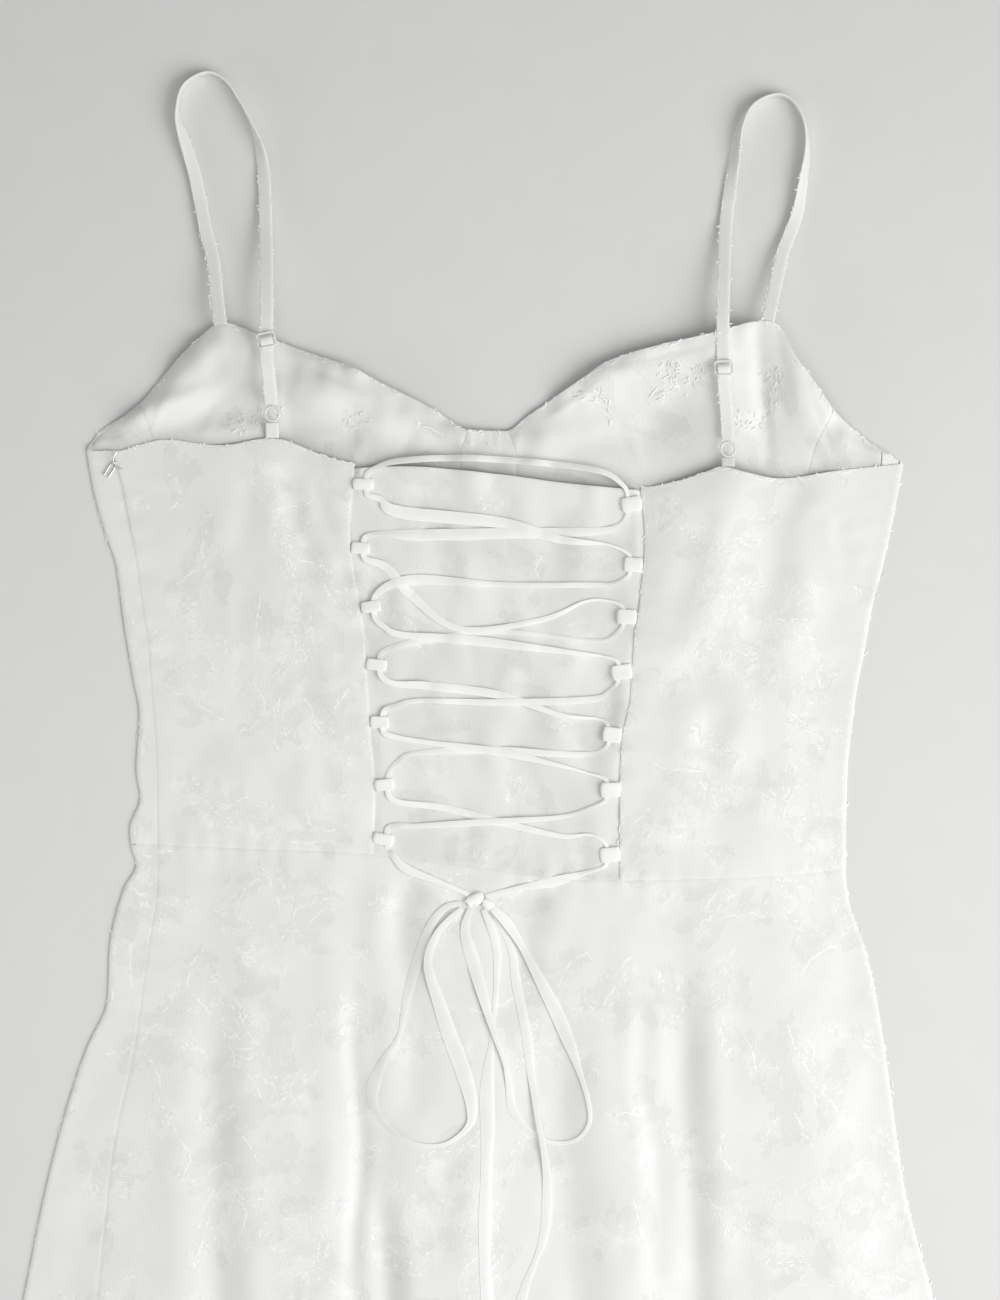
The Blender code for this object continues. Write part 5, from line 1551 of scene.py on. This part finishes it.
def straps(cloth_finish, wire_finish, thread):
    """Both straps, their sliders and rings, and the tabs that join them to the back."""
    for side, rows in (("left", STRAP_LEFT), ("right", STRAP_RIGHT)):
        route = laid_route([(*row, STRAP_WIDE) for row in rows], STRAP_THICK, floor_height,
                           STRAP_STEP)
        made = strip(f"strap_{side}_cloth", route, STRAP_THICK, cloth_finish)
        stitches(f"strap_{side}_stitches", route, thread)
        stands_for(f"strap_{side}")
    for side, x, y, z in SLIDERS:
        strap_slider(side, x, y, z + STRAP_THICK, cloth_finish, wire_finish)
    for side, x, y, z in RINGS:
        route = [(x + RING_RADIUS * math.cos(a), y + RING_RADIUS * math.sin(a), z)
                 for a in np.linspace(0, math.tau, 40, endpoint=False)]
        made = closed_wire(f"strap_ring_{side}_wire", route, RING_WIRE, wire_finish)
        stands_for(f"strap_ring_{side}")
        reach = RING_RADIUS + RING_WIRE + SEAM_GAP
        last = float(back_top(x)) + SEAM_GAP
        edge_z = float(back_height(x, last)) - WALL / 2
        tab = smooth_route([(x, y - reach, z, 0, STRAP_WIDE),
                            (x, last, edge_z, 0, STRAP_WIDE)], 1.0)
        made = strip(f"strap_tab_{side}_cloth", tab, STRAP_THICK, cloth_finish)
        stands_for(f"strap_tab_{side}")


def strap_slider(side, x, y, z, cloth_finish, wire_finish):
    """A coated wire slider tilted on its strap, with the strap's folded roll in it."""
    tilt = math.radians(12.0 if side == "left" else 2.0)

    def turned_to(across, along, rise):
        return (x + across * math.cos(tilt) - along * math.sin(tilt),
                y + across * math.sin(tilt) + along * math.cos(tilt), z + rise)

    def outline(half_wide, half_long, rise, power=0.35):
        places = []
        for angle in np.linspace(0, math.tau, 48, endpoint=False):
            c, s = math.cos(angle), math.sin(angle)
            places.append(turned_to(math.copysign(abs(c) ** power, c) * half_wide,
                                    math.copysign(abs(s) ** power, s) * half_long,
                                    rise + 0.5 * abs(s) ** 2))
        return places

    route = outline(SLIDER_WIDE / 2 - SLIDER_WIRE, SLIDER_LONG / 2 - SLIDER_WIRE, 0.9)
    made = closed_wire(f"strap_slider_{side}_wire", route, SLIDER_WIRE, wire_finish)
    stands_for(f"strap_slider_{side}")
    reach = SLIDER_WIDE / 2 - 0.6
    bar = [turned_to(across, 0.2, 1.2) for across in np.linspace(-reach, reach, 9)]
    made = skin(f"strap_slider_{side}_bar", wire_rings(bar, 0.45), wire_finish)
    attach(made, "root")
    folds = [(2.2, 0.3), (1.6, 1.3), (0.4, 2.0), (-1.0, 1.9), (-2.2, 1.3), (-3.6, 0.5),
             (-5.2, 0.3)]
    route = [(*turned_to(0.0, along, rise), 0, STRAP_WIDE - 0.4) for along, rise in folds]
    strip(f"strap_roll_{side}_cloth", smooth_route(route, 0.5), 0.7, cloth_finish)


def loop_end(side, y):
    """Where the lace passes through a loop, and which way the loop points."""
    reach = LOOP_LONG - LOOP_WALL - LACE_INSET + 2 * SEAM_GAP
    ends = np.array([y - LOOP_WIDE / 2, y, y + LOOP_WIDE / 2])
    if side == "left":
        return float(np.max(lacing_left(ends))) + reach, 1
    return float(np.min(lacing_right(ends))) - reach, -1


def lacing_loop(side, number, y, finish):
    """A folded satin loop on a lacing edge, open along the edge for the lace."""
    x, way = loop_end(side, y)
    middle = x - way * (LOOP_LONG / 2 - LOOP_WALL - LACE_INSET)
    around, across = 28, 6
    rings = []
    for k in range(across + 1):
        share = 2 * k / across - 1
        ring = []
        for n in range(around):
            turn = math.tau * n / around
            bulge = math.copysign(abs(math.cos(turn)) ** 0.6, math.cos(turn))
            rise = math.copysign(abs(math.sin(turn)) ** 0.6, math.sin(turn))
            pinch = 1 - 0.12 * share**2
            skew = 1 + 0.05 * math.sin(number * 2.1 + turn * 2)
            ring.append((bulge * (LOOP_LONG / 2 + 0.5) * pinch * skew,
                         share * LOOP_WIDE / 2 * (0.88 if side == "left" else 1.14),
                         rise * (LOOP_HALF + 0.15 * math.sin(number + 2 * share)) * pinch))
        rings.append(ring)
    work = wrapped(rings)
    bmesh.ops.recalc_face_normals(work, faces=work.faces)
    for face in work.faces:
        spot = face.calc_center_median()
        if face.normal.dot(Vector((spot.x, 0, spot.z))) < 0:
            face.normal_flip()
    lean = Matrix.Rotation(0.15 * math.sin(number * 2.3 + way), 3, "Z")
    bmesh.ops.rotate(work, cent=(0, 0, 0), matrix=lean, verts=work.verts)
    bmesh.ops.translate(work, vec=(middle - way * 0.5, y, LOOP_LACE_HIGH), verts=work.verts)
    made = finished(f"loop_{side}_{number}_satin", work, finish)
    thicken(made, 0.35, 0.12)
    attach(made, "root")
    stands_for(f"loop_{side}_{number}")


def slim(width):
    """The lace's drawn width, thinner than its solid near the loops and as wide in between."""
    return float(np.interp(width, [3.0, 4.4, 5.6, 6.4, 6.8], [1.2, 1.9, 3.3, 4.8, 5.6]))


def under_lace(x, y):
    """Height of what the lace lies on, the panel and below the waist the skirt."""
    panel = float(panel_height(x, y))
    step = max(0.0, float(back_height(x, y)) - panel)
    return panel + step * float(smooth((waist(x) + 2.0 - y) / 4.0))


def lowered(rows, clear):
    """Lace rows laid on the cloth with some clearance, with their drawn widths."""
    laid = []
    for x, y, roll, wide in rows:
        fine = slim(wide) + 1.5 * float(smooth((-22.0 - x) / 20.0))
        lean = abs(math.sin(math.radians(roll * 0.6))) * fine / 2
        laid.append((x, y, under_lace(x, y) + clear + lean, roll * 0.6, fine))
    return laid


def through_loop(side, y, way):
    """Lace rows where it passes through a loop, way -1 down the dress and 1 up it."""
    x = loop_end(side, y)[0]
    wide = 2.8 if side == "left" else 1.9
    return [(x, y - way * LOOP_EXIT * share, LOOP_LACE_HIGH, 0, wide) for share in (1, 0, -1)]


def settled(rows, clear):
    """A lace's route, kept clear of the panel under it."""
    rows = np.array([tuple(row) for row in smooth_route(rows, LACE_STEP)])
    x, y, z, roll, wide = rows.T
    least = panel_height(x, y) + clear + np.abs(np.sin(np.radians(roll))) * wide / 2
    over = (lacing_away(x, y) < -6.0) & (y > waist(x) + 4.0)
    rows[:, 2] = np.where(over, np.maximum(z, least), z)
    return [tuple(row) for row in rows.tolist()]


def lace_ground(x, y):
    """The panel under the lace, let go towards the loops."""
    share = smooth((-lacing_away(x, y) - 3.0) / 6.0) * smooth((y - waist(x)) / 6.0)
    return 4.0 + (panel_height(x, y) - 4.0) * share


def lace(name, route, spans, first_loop, sides, clear, least, finish):
    """One run of the lace, from its start on through one loop before each span."""
    for number, span in enumerate(spans, first_loop):
        side = sides[number % 2]
        heights = LOOPS_LEFT if side == "left" else LOOPS_RIGHT
        route = route + through_loop(side, heights[number], -1) + lowered(span, clear)
    made = ribbon(f"{name}_satin", settled(route, least), LACE_WIDE, LACE_FINE, finish,
                  lace_ground, LACE_SHADE)
    stands_for(name)


def lacing(finish, loop_finish):
    """The loops and the two lace runs that cross between them."""
    for side, heights in (("left", LOOPS_LEFT), ("right", LOOPS_RIGHT)):
        for number, y in enumerate(heights, 1):
            lacing_loop(side, number, y, loop_finish)
    top = [(x, y, z - 0.6, roll * 0.3, wide * 0.7) for x, y, z, roll, wide in TOP_BAR]
    first = through_loop("right", LOOPS_RIGHT[0], 1)[1:] + top
    lace("lace_first", first, [*FIRST_SPANS, FIRST_TAIL], 0, ("left", "right"), 0.9, 0.8,
         finish)
    start = through_loop("right", LOOPS_RIGHT[0], -1)[1:]
    x, y, *rest = start[0]
    second = [(x, y - LACES_APART, *rest), start[1]] + lowered(SECOND_SPANS[0], 0.3)
    lace("lace_second", second, [*SECOND_SPANS[1:], SECOND_TAIL], 1, ("right", "left"), 0.3,
         0.25, finish)


# The bow's four parts, each with its real length in metres and how it ends
BOW_PARTS = [
    ("bow_loop_left", BOW_LOOP_LEFT, 0.296, "object"),
    ("bow_loop_right", BOW_LOOP_RIGHT, 0.2745, "object"),
    ("bow_tail_left", BOW_TAIL_LEFT, 0.214, "bare"),
    ("bow_tail_right", BOW_TAIL_RIGHT, 0.223, "bare"),
]


def bow(finish):
    """The two bow loops and the two tails, and their knot."""
    for name, rows, length, far_end in BOW_PARTS:
        slimmed = [(x, y, (clear - 0.5) * 0.4 + 0.05, roll * 0.18, wide)
                   for x, y, clear, roll, wide in rows]
        route = laid_route(slimmed, LACE_FINE, back_height, LACE_STEP)
        made = ribbon(f"{name}_satin", route, LACE_WIDE, LACE_FINE, finish, back_height,
                      BOW_SHADE)
        stands_for(name)
        points = [tuple(value * MM for value in row[:3]) for row in route]
        points[::3] + [points[-1]]
    for name, place, radii, wide, tilt in (
        ("bow_knot_satin", (-0.6, 174.0, 1.2), (2.6, 1.0), 6.4, 24.0),
        ("bow_knot_wrap", (-4.2, 172.6, 1.1), (2.0, 0.9), 4.0, 48.0),
        ("bow_knot_tuck", (5.0, 170.8, 1.1), (2.2, 0.9), 5.8, -40.0),
    ):
        high = place[2] + float(back_height(place[0], place[1]))
        made = band(name, (*place[:2], high), radii, wide, math.radians(tilt), finish)
        if name == "bow_knot_satin":
            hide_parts("bow_knot")


def band(name, place, radii, wide, tilt, finish):
    """A ribbon wound once round the knot, crowned and uneven in width."""
    rings = []
    aside = Vector((math.cos(tilt), math.sin(tilt), 0.0))
    ahead = Vector((-math.sin(tilt), math.cos(tilt), 0.0))
    for turn in np.linspace(0, math.tau, 32, endpoint=False):
        out = ahead * math.cos(turn) + Vector((0, 0, 1)) * math.sin(turn)
        centre = ahead * math.cos(turn) * radii[0] + Vector((0, 0, 1)) * math.sin(turn) * radii[1]
        half = wide / 2 * (1 + 0.16 * math.sin(turn * 2 + place[0]) + 0.06 * math.sin(turn * 5))
        ring = []
        for side, lift in ((-1, 0.0), (-0.5, 0.3), (0, 0.36 + 0.1 * math.sin(turn * 3)),
                           (0.5, 0.3), (1, 0.0), (1, -0.3), (0, -0.3), (-1, -0.3)):
            ring.append(Vector(place) + centre + aside * half * side + out * lift)
        rings.append(ring)
    made = skin(name, rings, finish, closed=True, smooth_angle=60)
    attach(made, "root")
    return made


def side_wires(finish):
    """The hook and eye over the top of the zipped seam."""
    for name, rows in (("side_hook", SIDE_HOOK), ("side_eye", SIDE_EYE)):
        placed = [(x, y, float(back_height(x, y)) + clear) for x, y, clear in rows]
        made = skin(f"{name}_wire", wire_rings(smooth_route(placed, 0.5), SIDE_WIRE), finish)
        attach(made, "root")
        stands_for(name)


def main():
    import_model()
    set_camera()
    cloth_finish = jacquard()
    satin_finish = satin("white_satin", LACE_TONE)
    bow(satin_finish)
    pieces = front_pieces(cloth_finish) + back_pieces(cloth_finish)
    pieces += skirt_pieces(cloth_finish)
    wire_finish, thread = coated(), thread_finish()
    straps(cloth_finish, wire_finish, thread)
    lacing(satin_finish, satin("loop_satin", LOOP_TONE))
    bloom_threads(thread)
    fuzz(thread)
    side_wires(nickel())
    set_studio()


main()
